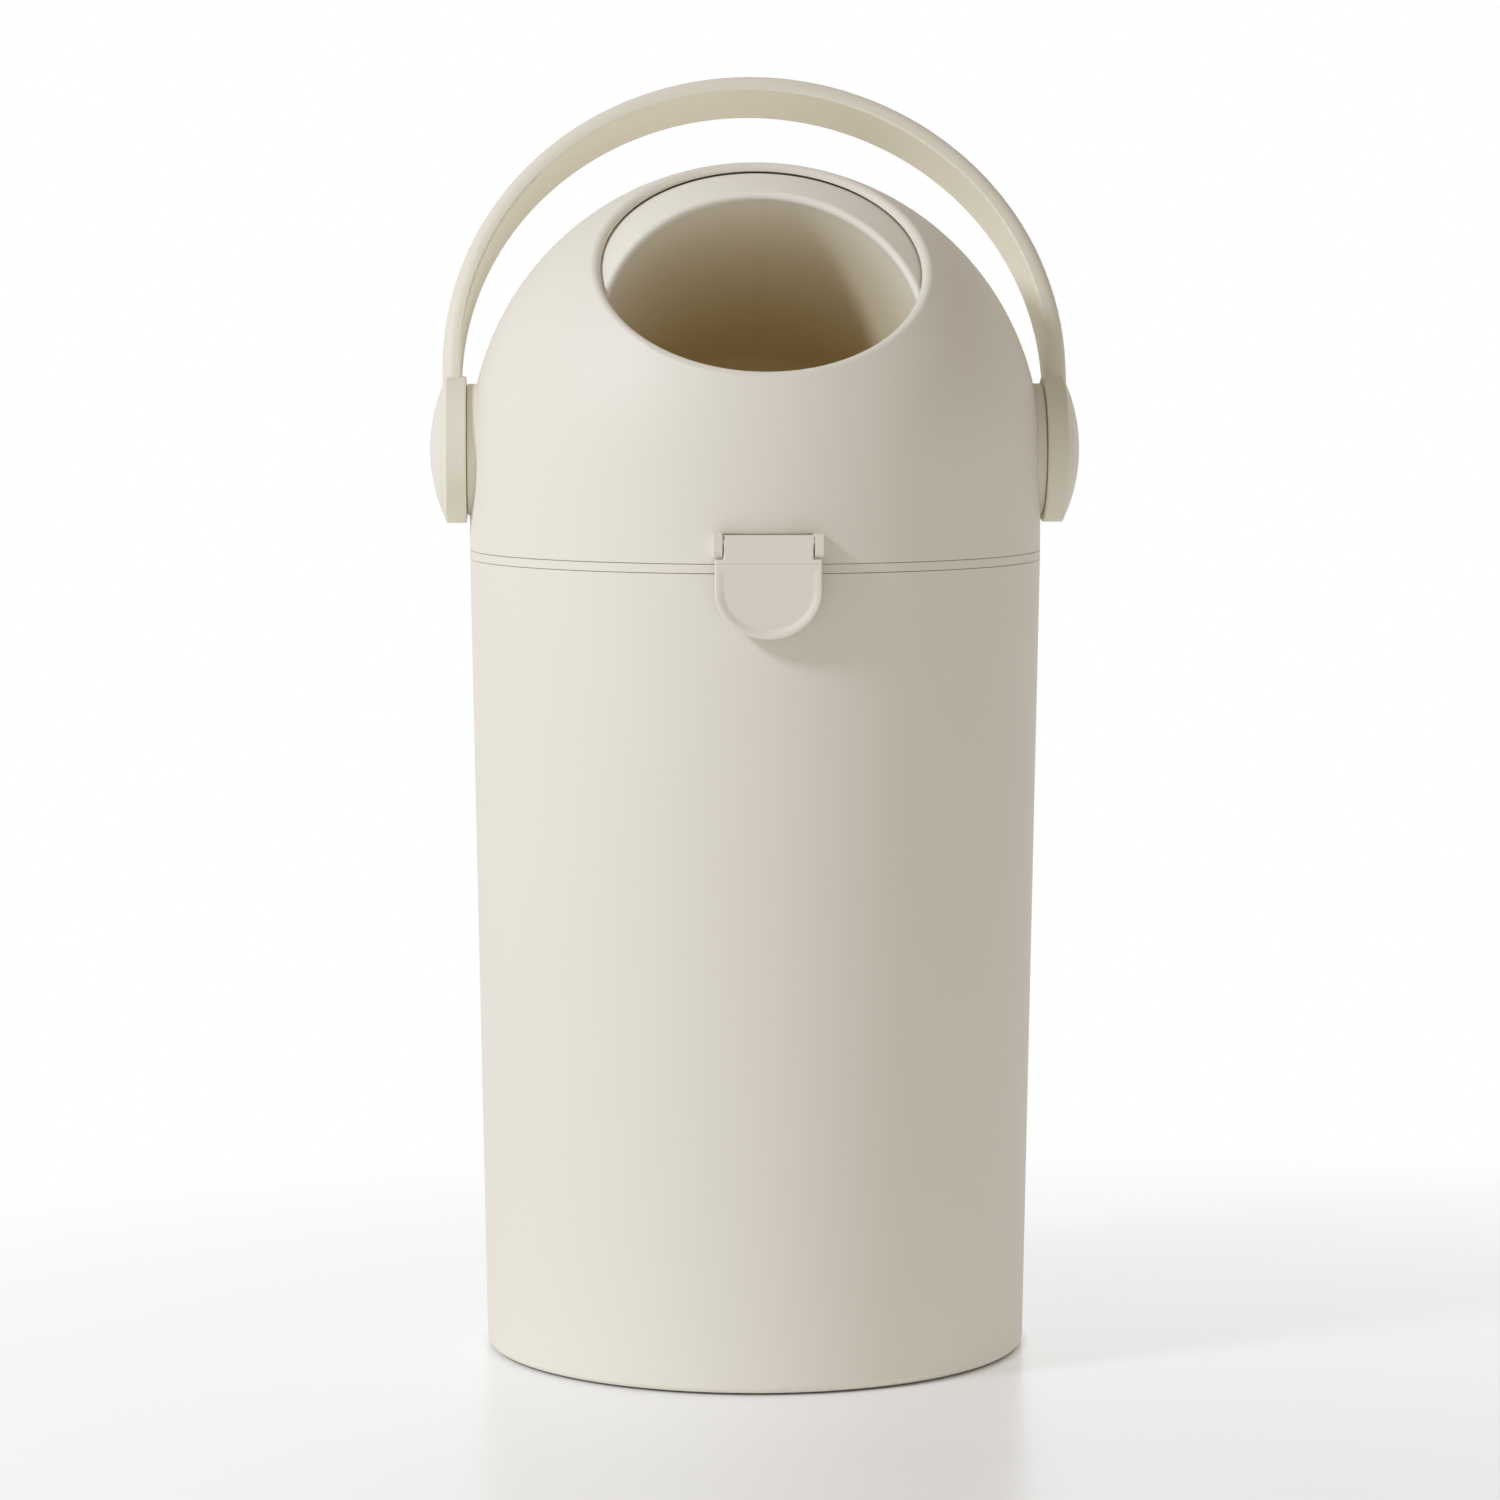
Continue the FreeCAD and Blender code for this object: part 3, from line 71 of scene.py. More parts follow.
def add_sum(tree, operation, place, *values):
    """New math node, with its plain values set in order."""
    node = add_node(tree, "ShaderNodeMath", place)
    node.operation = operation
    for socket, value in zip(node.inputs, values):
        if value is not None:
            socket.default_value = value
    return node


# %% Node group: moulded grain
CLOUD_SCALE, PATCH_SCALE = 9.0, 130.0
MIX_FIRST, MIX_SECOND, MIX_RESULT = 6, 7, 2  # colour sockets of a mix node, whose names occur more than once
GRAIN_INPUTS = {"Vector": "Vector", "Colour": "Color", "Cloud": "Color", "Roughness": "Float",
                "Unevenness": "Float", "Grain scale": "Float"}
GRAIN_OUTPUTS = {"Colour": "Color", "Roughness": "Float", "Height": "Float"}


def moulded_grain_group():
    """Cloudy colour, uneven roughness and the height of a fine grain."""
    tree = bpy.data.node_groups.new("moulded grain", "ShaderNodeTree")
    for side, sockets in (("INPUT", GRAIN_INPUTS), ("OUTPUT", GRAIN_OUTPUTS)):
        for name, kind in sockets.items():
            tree.interface.new_socket(name, in_out=side, socket_type="NodeSocket" + kind)
    entry = add_node(tree, "NodeGroupInput", (-900, 0))
    leave = add_node(tree, "NodeGroupOutput", (500, 0))
    cloud = add_node(tree, "ShaderNodeTexNoise", (-600, 250), Scale=CLOUD_SCALE, Detail=3.0)
    blend = add_node(tree, "ShaderNodeMix", (-200, 250))
    blend.data_type = "RGBA"
    patches = add_node(tree, "ShaderNodeTexNoise", (-600, -50), Scale=PATCH_SCALE, Detail=2.0)
    spread = add_sum(tree, "SUBTRACT", (-350, -50), None, 0.5)
    rough = add_sum(tree, "MULTIPLY_ADD", (-150, -50))
    grain = add_node(tree, "ShaderNodeTexNoise", (-600, -350), Detail=2.0, Roughness=0.6)
    link = tree.links.new
    for texture in (cloud, patches, grain):
        link(entry.outputs["Vector"], texture.inputs["Vector"])
    link(entry.outputs["Grain scale"], grain.inputs["Scale"])
    link(cloud.outputs["Fac"], blend.inputs["Factor"])
    link(entry.outputs["Colour"], blend.inputs[MIX_FIRST])
    link(entry.outputs["Cloud"], blend.inputs[MIX_SECOND])
    link(patches.outputs["Fac"], spread.inputs[0])
    link(spread.outputs[0], rough.inputs[0])
    link(entry.outputs["Unevenness"], rough.inputs[1])
    link(entry.outputs["Roughness"], rough.inputs[2])
    link(blend.outputs[MIX_RESULT], leave.inputs["Colour"])
    link(rough.outputs[0], leave.inputs["Roughness"])
    link(grain.outputs["Fac"], leave.inputs["Height"])
    return tree


moulded_grain = moulded_grain_group()
print("node group:", moulded_grain.name, len(moulded_grain.nodes), "nodes")

# %% [markdown]
# ## Finishes
# The shell, lid and latch are one cream plastic. Pieces that hardly show differ: off-white bearing plastic,
# dark brownish seals and a nearly black rubber ring under the base. The seals' warm dark brown is also
# painted shade for the narrow gap around the mouth. Each finish is a Principled shader whose colour,
# roughness and bump come from the group, with its own values.

# %% Plastic and rubber finishes
COARSE, FINE, SOFT = (1500, 0.05 * MM), (1900, 0.03 * MM), (1100, 0.07 * MM)  # scale and height of a grain
UNEVENNESS, BUMP_STRENGTH = 0.10, 0.5


def grained_finish(name, colour, cloud, roughness, grain, specular=0.4):
    """Material with the moulded grain. Its colours are linear."""
    material = bpy.data.materials.new(name)
    material.use_nodes = True
    tree = material.node_tree
    shader = tree.nodes["Principled BSDF"]
    shader.inputs["Specular IOR Level"].default_value = specular
    place = add_node(tree, "ShaderNodeTexCoord", (-900, 0))
    mould = add_node(tree, "ShaderNodeGroup", (-600, 0))
    mould.node_tree = moulded_grain
    scale, height = grain
    values = {"Colour": (*colour, 1), "Cloud": (*cloud, 1), "Roughness": roughness, "Unevenness": UNEVENNESS,
              "Grain scale": scale}
    for socket, value in values.items():
        mould.inputs[socket].default_value = value
    bump = add_node(tree, "ShaderNodeBump", (-300, -250), Strength=BUMP_STRENGTH, Distance=height)
    tree.links.new(place.outputs["Object"], mould.inputs["Vector"])
    tree.links.new(mould.outputs["Colour"], shader.inputs["Base Color"])
    tree.links.new(mould.outputs["Roughness"], shader.inputs["Roughness"])
    tree.links.new(mould.outputs["Height"], bump.inputs["Height"])
    tree.links.new(bump.outputs["Normal"], shader.inputs["Normal"])
    return material


cream = grained_finish("cream shell plastic", (0.80, 0.757, 0.66), (0.785, 0.74, 0.642), 0.55, COARSE)
carrier_cream = grained_finish("inner plastic", (0.74, 0.70, 0.62), (0.72, 0.68, 0.60), 0.60, COARSE)
bearing_white = grained_finish("bearing plastic", (0.80, 0.80, 0.78), (0.77, 0.77, 0.75), 0.35, FINE)
# Partly painted shade: the seals' warm dark brown also stands for the shade in the gap around the mouth.
seal_dark_and_gap_shade = grained_finish("seal rubber", (0.20, 0.162, 0.10), (0.175, 0.14, 0.085), 0.75, SOFT, 0.3)
grip_dark = grained_finish("grip rubber", (0.03, 0.03, 0.03), (0.045, 0.045, 0.045), 0.80, SOFT, 0.3)
print("finishes:", [finish.name for finish in (cream, carrier_cream, bearing_white, seal_dark_and_gap_shade, grip_dark)])

# %% [markdown]
# ## Light and shade painted over a piece
# The drum and the handle are cream too, but parts of them have light or shade painted into their colour.
# Separate materials on chosen faces would show an edge, so a mask blends the two colours of the grain towards
# other tones, and the mask is worked out from the place and the direction of the surface.


# %% Masks and blends
def vector_step(tree, operation, place, value=None):
    """New vector math node, with a plain second vector if one is given."""
    node = add_node(tree, "ShaderNodeVectorMath", place)
    node.operation = operation
    if value is not None:
        node.inputs[1].default_value = value
    return node


def mask_between(tree, source, full, none, place):
    """Mask that is one below the value full and fades to zero at the value none."""
    ramp = add_node(tree, "ShaderNodeMapRange", place, From_Min=full, From_Max=none, To_Min=1.0, To_Max=0.0)
    tree.links.new(source, ramp.inputs["Value"])
    return ramp.outputs["Result"]


def blend_tones(tree, mask, tones):
    """Blends both colours of the moulded grain towards painted tones of light or shade where the mask is one.
    """
    mould = next(node for node in tree.nodes if node.type == "GROUP")
    for row, (name, tone) in enumerate(tones.items()):
        mix = add_node(tree, "ShaderNodeMix", (-900, 450 - 250 * row))
        mix.data_type = "RGBA"
        mix.inputs[MIX_FIRST].default_value = mould.inputs[name].default_value
        mix.inputs[MIX_SECOND].default_value = (*tone, 1)
        for earlier in mould.inputs[name].links:
            tree.links.new(earlier.from_socket, mix.inputs[MIX_FIRST])
        tree.links.new(mask, mix.inputs["Factor"])
        tree.links.new(mix.outputs[MIX_RESULT], mould.inputs[name])


# %% [markdown]
# In the cup of the drum a lighter colour near the lip is painted light, and a warm, deep colour further down
# is painted shade, for the light that pale plastic passes from one wall to the next. The distance from the
# ball's centre tells the cup from the outside, and the distance along the cup's axis tells how deep a place
# lies.

# %% Drum finish
DRUM_RADIUS, LIP_WIDTH, LIP_FADE = 130 * MM, 3.5 * MM, 5.5 * MM
CUP_LEAN, CUP_DEEP, CUP_SHALLOW = math.radians(32.4), -5 * MM, 100 * MM  # depths from the ball's centre
# Painted light: the lighter colour over the inside of the cup. Painted shade: the warm, deep colour further
# down it.
LIP_PAINTED_LIGHT_TONES = {"Colour": (0.93, 0.87, 0.725), "Cloud": (0.92, 0.855, 0.705)}
CUP_PAINTED_SHADE_TONES = {"Colour": (0.72, 0.60, 0.37), "Cloud": (0.70, 0.58, 0.35)}
hinges = {joint["name"]: Vector(joint["pos_m"]) for joint in frame["joints"]}
axle = hinges["handle_turn"]
drum_cream_painted_cup_light_and_shade = grained_finish("cream drum plastic, painted cup light and shade", (0.872, 0.832, 0.728), (0.857, 0.814, 0.707), 0.52, FINE)
tree = drum_cream_painted_cup_light_and_shade.node_tree
place = next(node for node in tree.nodes if node.type == "TEX_COORD")
cup_axis = Vector((0, -math.cos(CUP_LEAN), math.sin(CUP_LEAN)))
reach = vector_step(tree, "DISTANCE", (-1500, 250), axle)
along = vector_step(tree, "DOT_PRODUCT", (-1500, 0), cup_axis)
for step in (reach, along):
    tree.links.new(place.outputs["Object"], step.inputs[0])
lip = DRUM_RADIUS - LIP_WIDTH
centre = cup_axis.dot(axle)
inside = mask_between(tree, reach.outputs["Value"], lip - LIP_FADE, lip, (-1300, 250))
deep = mask_between(tree, along.outputs["Value"], centre + CUP_DEEP, centre + CUP_SHALLOW, (-1300, 0))
# Mask of the painted shade: inside the cup and deep along its axis.
warm = add_sum(tree, "MULTIPLY", (-1100, 150))
tree.links.new(inside, warm.inputs[0])
tree.links.new(deep, warm.inputs[1])
blend_tones(tree, inside, LIP_PAINTED_LIGHT_TONES)
blend_tones(tree, warm.outputs[0], CUP_PAINTED_SHADE_TONES)
print("finish:", drum_cream_painted_cup_light_and_shade.name, "with a warm cup")

# %% [markdown]
# The inner side of the handle hangs close over the pale dome, and in the photo it is as light as the outside,
# and warmer. A lamp from below would also light the floor and the rims, so the light from the dome is painted
# into the colour instead: the inner side has painted light, a lighter and warmer tone.
# The side is told by the direction of its surface, which points against the line from the axle to the place.

# %% Handle finish
INNER_FULL, INNER_NONE = -80 * MM, -40 * MM
# Painted light: a lighter, warmer colour on the inner side of the handle, for the light the dome sends up.
INNER_PAINTED_LIGHT_TONES = {"Colour": (0.98, 0.935, 0.775), "Cloud": (0.97, 0.92, 0.76)}
handle_cream_painted_inner_light = grained_finish("cream handle plastic, painted inner light", (0.785, 0.74, 0.615), (0.77, 0.724, 0.598), 0.52,
                              COARSE)
tree = handle_cream_painted_inner_light.node_tree
place = next(node for node in tree.nodes if node.type == "TEX_COORD")
outward = vector_step(tree, "SUBTRACT", (-1700, 0), axle)
facing = vector_step(tree, "DOT_PRODUCT", (-1500, 0))
tree.links.new(place.outputs["Object"], outward.inputs[0])
tree.links.new(outward.outputs["Vector"], facing.inputs[0])
tree.links.new(place.outputs["Normal"], facing.inputs[1])
inner = mask_between(tree, facing.outputs["Value"], INNER_FULL, INNER_NONE, (-1300, 0))
blend_tones(tree, inner, INNER_PAINTED_LIGHT_TONES)
print("finish:", handle_cream_painted_inner_light.name, "with a lighter inner side")

# %% [markdown]
# ## Zinc plate
# The pins and screws are plated steel wire. A metal has no moulded grain, but faint lines along the way it
# was drawn. Lines could be modelled or bumped, but they are too fine for that: a noise that is stretched
# along X gives them to colour and roughness.

# %% Zinc finish
LINE_SCALE = (60, 1600, 1600)
ZINC_DARK, ZINC_LIGHT = (0.46, 0.46, 0.47, 1), (0.66, 0.66, 0.66, 1)
ZINC_SMOOTH, ZINC_ROUGH = 0.28, 0.48


def zinc_finish():
    """Dull plated steel with lines drawn along X."""
    material = bpy.data.materials.new("zinc plated steel")
    material.use_nodes = True
    tree = material.node_tree
    shader = tree.nodes["Principled BSDF"]
    shader.inputs["Metallic"].default_value = 1.0
    place = add_node(tree, "ShaderNodeTexCoord", (-1100, 0))
    stretch = add_node(tree, "ShaderNodeMapping", (-900, 0), Scale=LINE_SCALE)
    lines = add_node(tree, "ShaderNodeTexNoise", (-650, 0), Scale=1.0, Detail=3.0)
    tone = add_node(tree, "ShaderNodeValToRGB", (-400, 150))
    tone.color_ramp.elements[0].color = ZINC_DARK
    tone.color_ramp.elements[1].color = ZINC_LIGHT
    rough = add_node(tree, "ShaderNodeMapRange", (-400, -150), To_Min=ZINC_SMOOTH, To_Max=ZINC_ROUGH)
    tree.links.new(place.outputs["Object"], stretch.inputs["Vector"])
    tree.links.new(stretch.outputs["Vector"], lines.inputs["Vector"])
    tree.links.new(lines.outputs["Fac"], tone.inputs["Fac"])
    tree.links.new(lines.outputs["Fac"], rough.inputs["Value"])
    tree.links.new(tone.outputs["Color"], shader.inputs["Base Color"])
    tree.links.new(rough.outputs["Result"], shader.inputs["Roughness"])
    return material


zinc = zinc_finish()
print("finish:", zinc.name)

# %% [markdown]
# ## Dressing the CAD pieces
# The shapes from CAD are right as they are, so a node keeps its mesh and only gets a finish in its slots.

# %% Give each node its finish
FINISHES = {
    cream: ("pail_body", "bag_ring", "lid_dome", "hub_cap_left", "hub_cap_right", "latch_flap"),
    handle_cream_painted_inner_light: ("handle",),
    drum_cream_painted_cup_light_and_shade: ("drum_bowl", "drum_back"),
    carrier_cream: ("seal_carrier",),
    bearing_white: ("axle_left", "axle_right", "pivot_bush_left", "pivot_bush_right"),
    seal_dark_and_gap_shade: ("lid_gasket", "mouth_seal", "drum_wiper_seal", "axle_seal_left", "axle_seal_right"),
    grip_dark: ("base_grip_ring",),
    zinc: ("carrier_screws", "hub_screw_left", "hub_screw_right", "latch_pin", "lid_hinge_pin"),
}
for finish, names in FINISHES.items():
    for name in names:
        for slot in frame["nodes"][name].material_slots:
            slot.material = finish
print("dressed:", sum(len(names) for names in FINISHES.values()), "nodes")

# %% [markdown]
# ## The latch flap
# The flap is a D-shaped plate that hangs from a pin between two ears. A finger pulls it out at its lower
# edge, so a soft dish is scooped into its front. It could be a boolean of plain solids, but a moulding has
# no hard edges: it is drawn as an outline, filled, thickened and softened, as a modeller would do by hand.
# Two helpers pick parts of the mesh by their place and extrude what is picked.

# %% Helpers for edit mode
PIN = hinges["latch_swing"]


def pick(kind, test):
    """In edit mode, selects the vertices, edges or faces whose middle, seen from the pin, passes the test."""
    bpy.ops.mesh.select_mode(type=kind)
    bpy.ops.mesh.select_all(action="DESELECT")
    shape = bmesh.from_edit_mesh(bpy.context.object.data)
    chosen = 0
    for part in {"VERT": shape.verts, "EDGE": shape.edges, "FACE": shape.faces}[kind]:
        corners = [part.co] if kind == "VERT" else [corner.co for corner in part.verts]
        if test(sum(corners, Vector()) / len(corners) - PIN, part):
            part.select_set(True)
            chosen += 1
    shape.select_flush_mode()
    bmesh.update_edit_mesh(bpy.context.object.data)
    return chosen


def pull(x, y, z):
    """Extrudes what is selected by a distance."""
    bpy.ops.mesh.extrude_region_move(TRANSFORM_OT_translate={"value": (x, y, z)})


# %% The outline of the flap
FLAP_HALF, FLAP_NECK = 24.0 * MM, 20.1 * MM
FLAP_SHOULDER, FLAP_LENGTH, FLAP_END = 7.5 * MM, 43.3 * MM, 21.53 * MM
FLAP_FRONT, FLAP_THICK, HAIR = 3.4 * MM, 3.6 * MM, 0.01 * MM
END_TOP, ROUND_STEPS = FLAP_END - FLAP_LENGTH, 96
bpy.ops.object.select_all(action="DESELECT")
bpy.ops.mesh.primitive_circle_add(vertices=ROUND_STEPS, radius=FLAP_HALF, rotation=(math.pi / 2, 0, 0),
                                  location=PIN + Vector((0, -FLAP_FRONT, END_TOP)))
flap = bpy.context.object
flap.name = "latch_flap_soft"
bpy.ops.object.transform_apply(location=True, rotation=True, scale=True)
bpy.ops.object.mode_set(mode="EDIT")
bpy.ops.transform.resize(value=(1, 1, FLAP_END / FLAP_HALF), center_override=PIN + Vector((0, 0, END_TOP)))
pick("VERT", lambda place, part: place.z > END_TOP + HAIR)
bpy.ops.mesh.delete(type="VERT")
pick("VERT", lambda place, part: place.z > END_TOP - HAIR)
pull(0, 0, -FLAP_SHOULDER - END_TOP)
pull(0, 0, 0)
bpy.ops.transform.resize(value=(FLAP_NECK / FLAP_HALF, 1, 1), center_override=PIN)
pull(0, 0, FLAP_SHOULDER)
bpy.ops.mesh.edge_face_add()
bpy.ops.mesh.select_all(action="SELECT")
bpy.ops.mesh.edge_face_add()
print("outline:", len(bmesh.from_edit_mesh(flap.data).verts), "corners")

# %% [markdown]
# The filled outline is thickened and cut level with the crease. Two insets below the crease give the rim and
# the slope of the dish, and turning the inner face about the crease sinks it towards the bottom.

# %% Thickness and dish
CREASE = 9.4 * MM
RIM, SLOPE, DISH_DEPTH = 1.9 * MM, 2.2 * MM, 1.5 * MM
FRONT_NORMAL = -0.9
pull(0, FLAP_THICK, 0)
bpy.ops.mesh.select_all(action="SELECT")
bpy.ops.mesh.normals_make_consistent(inside=False)
bpy.ops.mesh.bisect(plane_co=PIN - Vector((0, 0, CREASE)), plane_no=(0, 0, 1))
pick("FACE", lambda place, part: part.normal.y < FRONT_NORMAL and place.z < -CREASE)
bpy.ops.mesh.inset(thickness=RIM)
bpy.ops.mesh.inset(thickness=SLOPE)
dish_turn = math.asin(DISH_DEPTH / (FLAP_LENGTH - CREASE - RIM - SLOPE))
bpy.ops.transform.rotate(value=-dish_turn, orient_axis="X", orient_type="GLOBAL",
                         center_override=PIN + Vector((0, -FLAP_FRONT, -CREASE)))
dish = [corner.co.y - PIN.y + FLAP_FRONT for corner in bmesh.from_edit_mesh(flap.data).verts if corner.select]
print("dish:", round(min(dish) / MM, 2), "to", round(max(dish) / MM, 2), "mm deep")

# %% [markdown]
# The edges of the dish and of the plate are rounded. A bevel on chosen edges rounds the dish widely, and a
# bevel modifier with an angle limit finds the outer edges by itself.

# %% Soft edges
DISH_ROUND, EDGE_ROUND = 0.9 * MM, 0.7 * MM
LEANING_NORMAL, SLIGHT_ANGLE, SHARP_ANGLE = -0.5, math.radians(1), math.radians(60)


def on_dish_edge(place, part):
    """True for an edge between two front faces that lean against each other."""
    fronts = [face for face in part.link_faces if face.normal.y < LEANING_NORMAL]
    return len(fronts) == 2 and part.calc_face_angle() > SLIGHT_ANGLE


rounded = pick("EDGE", on_dish_edge)
bpy.ops.mesh.bevel(offset=DISH_ROUND, segments=5, profile=0.5, clamp_overlap=True)
bpy.ops.object.mode_set(mode="OBJECT")
soften = flap.modifiers.new("soft edges", "BEVEL")
soften.width = EDGE_ROUND
soften.segments = 4
soften.limit_method = "ANGLE"
soften.angle_limit = SHARP_ANGLE
bpy.ops.object.modifier_apply(modifier=soften.name)
print("rounded:", rounded, "dish edges;", len(flap.data.polygons), "faces")

# %% [markdown]
# The barrel for the pin, the hook block behind the plate, the pin's hole and a fine crease line are added
# and cut with booleans, which keep the round shapes exact where they meet the plate.

# %% Tools for the booleans
ROD_STEPS = 64


def rod(name, radius, length, place):
    """Round bar along X, with its place in its mesh."""
    bpy.ops.object.select_all(action="DESELECT")
    bpy.ops.mesh.primitive_cylinder_add(vertices=ROD_STEPS, radius=radius, depth=length, location=place,
                                        rotation=(0, math.pi / 2, 0))
    bar = bpy.context.object
    bar.name = name
    bpy.ops.object.transform_apply(location=True, rotation=True, scale=True)
    return bar


def block(name, size, place, edge):
    """Box with rounded edges, with its place in its mesh."""
    bpy.ops.object.select_all(action="DESELECT")
    bpy.ops.mesh.primitive_cube_add(size=1, location=place, scale=size)
    box = bpy.context.object
    box.name = name
    bpy.ops.object.transform_apply(location=True, rotation=True, scale=True)
    bpy.ops.object.mode_set(mode="EDIT")
    bpy.ops.mesh.select_all(action="SELECT")
    bpy.ops.mesh.bevel(offset=edge, segments=2)
    bpy.ops.object.mode_set(mode="OBJECT")
    return box


def combine(tool, operation):
    """Joins the tool to the flap or cuts it out, and deletes it."""
    bpy.ops.object.select_all(action="DESELECT")
    bpy.context.view_layer.objects.active = flap
    flap.select_set(True)
    step = flap.modifiers.new(tool.name, "BOOLEAN")
    step.object = tool
    step.operation = operation
    bpy.ops.object.modifier_apply(modifier=step.name)
    bpy.data.objects.remove(tool)


# %% Barrel, hook, hole and crease line
BARREL, PIN_HOLE = 3.4 * MM, 1.65 * MM
HOOK_HALF, HOOK_TOP, HOOK_LOW, HOOK_REACH = 12 * MM, 33.5 * MM, 38.2 * MM, 2.2 * MM
HOOK_SUNK, HOOK_ROUND = 1 * MM, 0.4 * MM
CREASE_LINE, CREASE_INSET = 0.22 * MM, 1.2 * MM
flap_back = FLAP_THICK - FLAP_FRONT
hook_size = (2 * HOOK_HALF, HOOK_REACH + HOOK_SUNK, HOOK_LOW - HOOK_TOP)
hook_place = PIN + Vector((0, flap_back + (HOOK_REACH - HOOK_SUNK) / 2, -(HOOK_TOP + HOOK_LOW) / 2))
crease_place = PIN - Vector((0, FLAP_FRONT, CREASE))
combine(rod("barrel", BARREL, 2 * FLAP_NECK, PIN), "UNION")
combine(block("hook block", hook_size, hook_place, HOOK_ROUND), "UNION")
combine(rod("pin hole", PIN_HOLE, 3 * FLAP_HALF, PIN), "DIFFERENCE")
combine(rod("crease line", CREASE_LINE, 2 * (FLAP_HALF - CREASE_INSET), crease_place), "DIFFERENCE")
flap_size = [round(side / MM, 1) for side in flap.dimensions]
print("latch flap:", len(flap.data.polygons), "faces,", flap_size, "mm")

# %% [markdown]
# Last, the flap is shaded smooth with flat faces kept flat. It takes the shell's finish, stands for the CAD
# flap, which is hidden, and swings with the latch body.

# %% Shading and place in the frame
SMOOTH_ANGLE = math.radians(35)
bpy.ops.object.shade_smooth_by_angle(angle=SMOOTH_ANGLE)
flatten = flap.modifiers.new("flat faces stay flat", "WEIGHTED_NORMAL")
flatten.keep_sharp = True
bpy.ops.object.modifier_apply(modifier=flatten.name)
flap.data.materials.append(cream)
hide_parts("latch_flap")
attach(flap, "latch")
print("latch flap:", flap.name, "rides on the latch")

# %% [markdown]
# ## Floor
# The photo was taken on a white, slightly glossy sweep. A large floor carries the soft shadow and the faint
# reflection of the pail, and away from the pail it runs into plain white. A small floor would show its edge.

# %% Floor
FLOOR_SPAN = 40
bpy.ops.object.select_all(action="DESELECT")
bpy.ops.mesh.primitive_plane_add(size=FLOOR_SPAN)
floor = bpy.context.object
floor.name = "floor"
print("floor:", round(floor.dimensions.x), "m")

# %% [markdown]
# The floor mixes chalk, which takes the shadow, with plain white light. How white it is changes with the
# distance, and differs between the rays that show it and those that only carry its light to the pail.


# %% Helpers for the floor and the world
def seen_rays(tree, left):
    """Mask of the rays that show a surface: from the camera, in a mirror or through glass."""
    path = add_node(tree, "ShaderNodeLightPath", (left, 400))
    mirrored = add_sum(tree, "MAXIMUM", (left + 200, 400))
    shown = add_sum(tree, "MAXIMUM", (left + 400, 400))
    tree.links.new(path.outputs["Is Camera Ray"], mirrored.inputs[0])
    tree.links.new(path.outputs["Is Glossy Ray"], mirrored.inputs[1])
    tree.links.new(mirrored.outputs[0], shown.inputs[0])
    tree.links.new(path.outputs["Is Transmission Ray"], shown.inputs[1])
    return shown.outputs[0]


def distance_ramp(tree, level, middle, near, far, first, last):
    """Value that goes from first to last between two distances from a point of the floor."""
    place = add_node(tree, "ShaderNodeTexCoord", (-1100, level))
    away = vector_step(tree, "DISTANCE", (-900, level), middle)
    ramp = add_node(tree, "ShaderNodeMapRange", (-700, level), From_Min=near, From_Max=far,
                    To_Min=first, To_Max=last)
    tree.links.new(place.outputs["Object"], away.inputs[0])
    tree.links.new(away.outputs["Value"], ramp.inputs["Value"])
    return ramp.outputs["Result"]


# %% Floor finish
# Each ramp has its point, its near and far distance in metres, and its values there.
PAIL_FOOT, IN_FRONT = (0, 0, 0), (0.1, -0.4, 0)
SEEN_WHITE = (IN_FRONT, 0.15, 0.95, 0.36, 1.0)
GIVEN_WHITE = (PAIL_FOOT, 0.15, 2.2, 0.56, 0.45)
UNDER_PAIL = (PAIL_FOOT, 0.126, 0.132, 0.0, 1.0)
GLOSS_LEFT = (IN_FRONT, 0.4, 1.1, 1.0, 0.0)
CHALK, WHITE = (0.94, 0.94, 0.94, 1), (1, 1, 1, 1)
GLOSS_ROUGHNESS, GLOSS_IOR = 0.25, 1.8


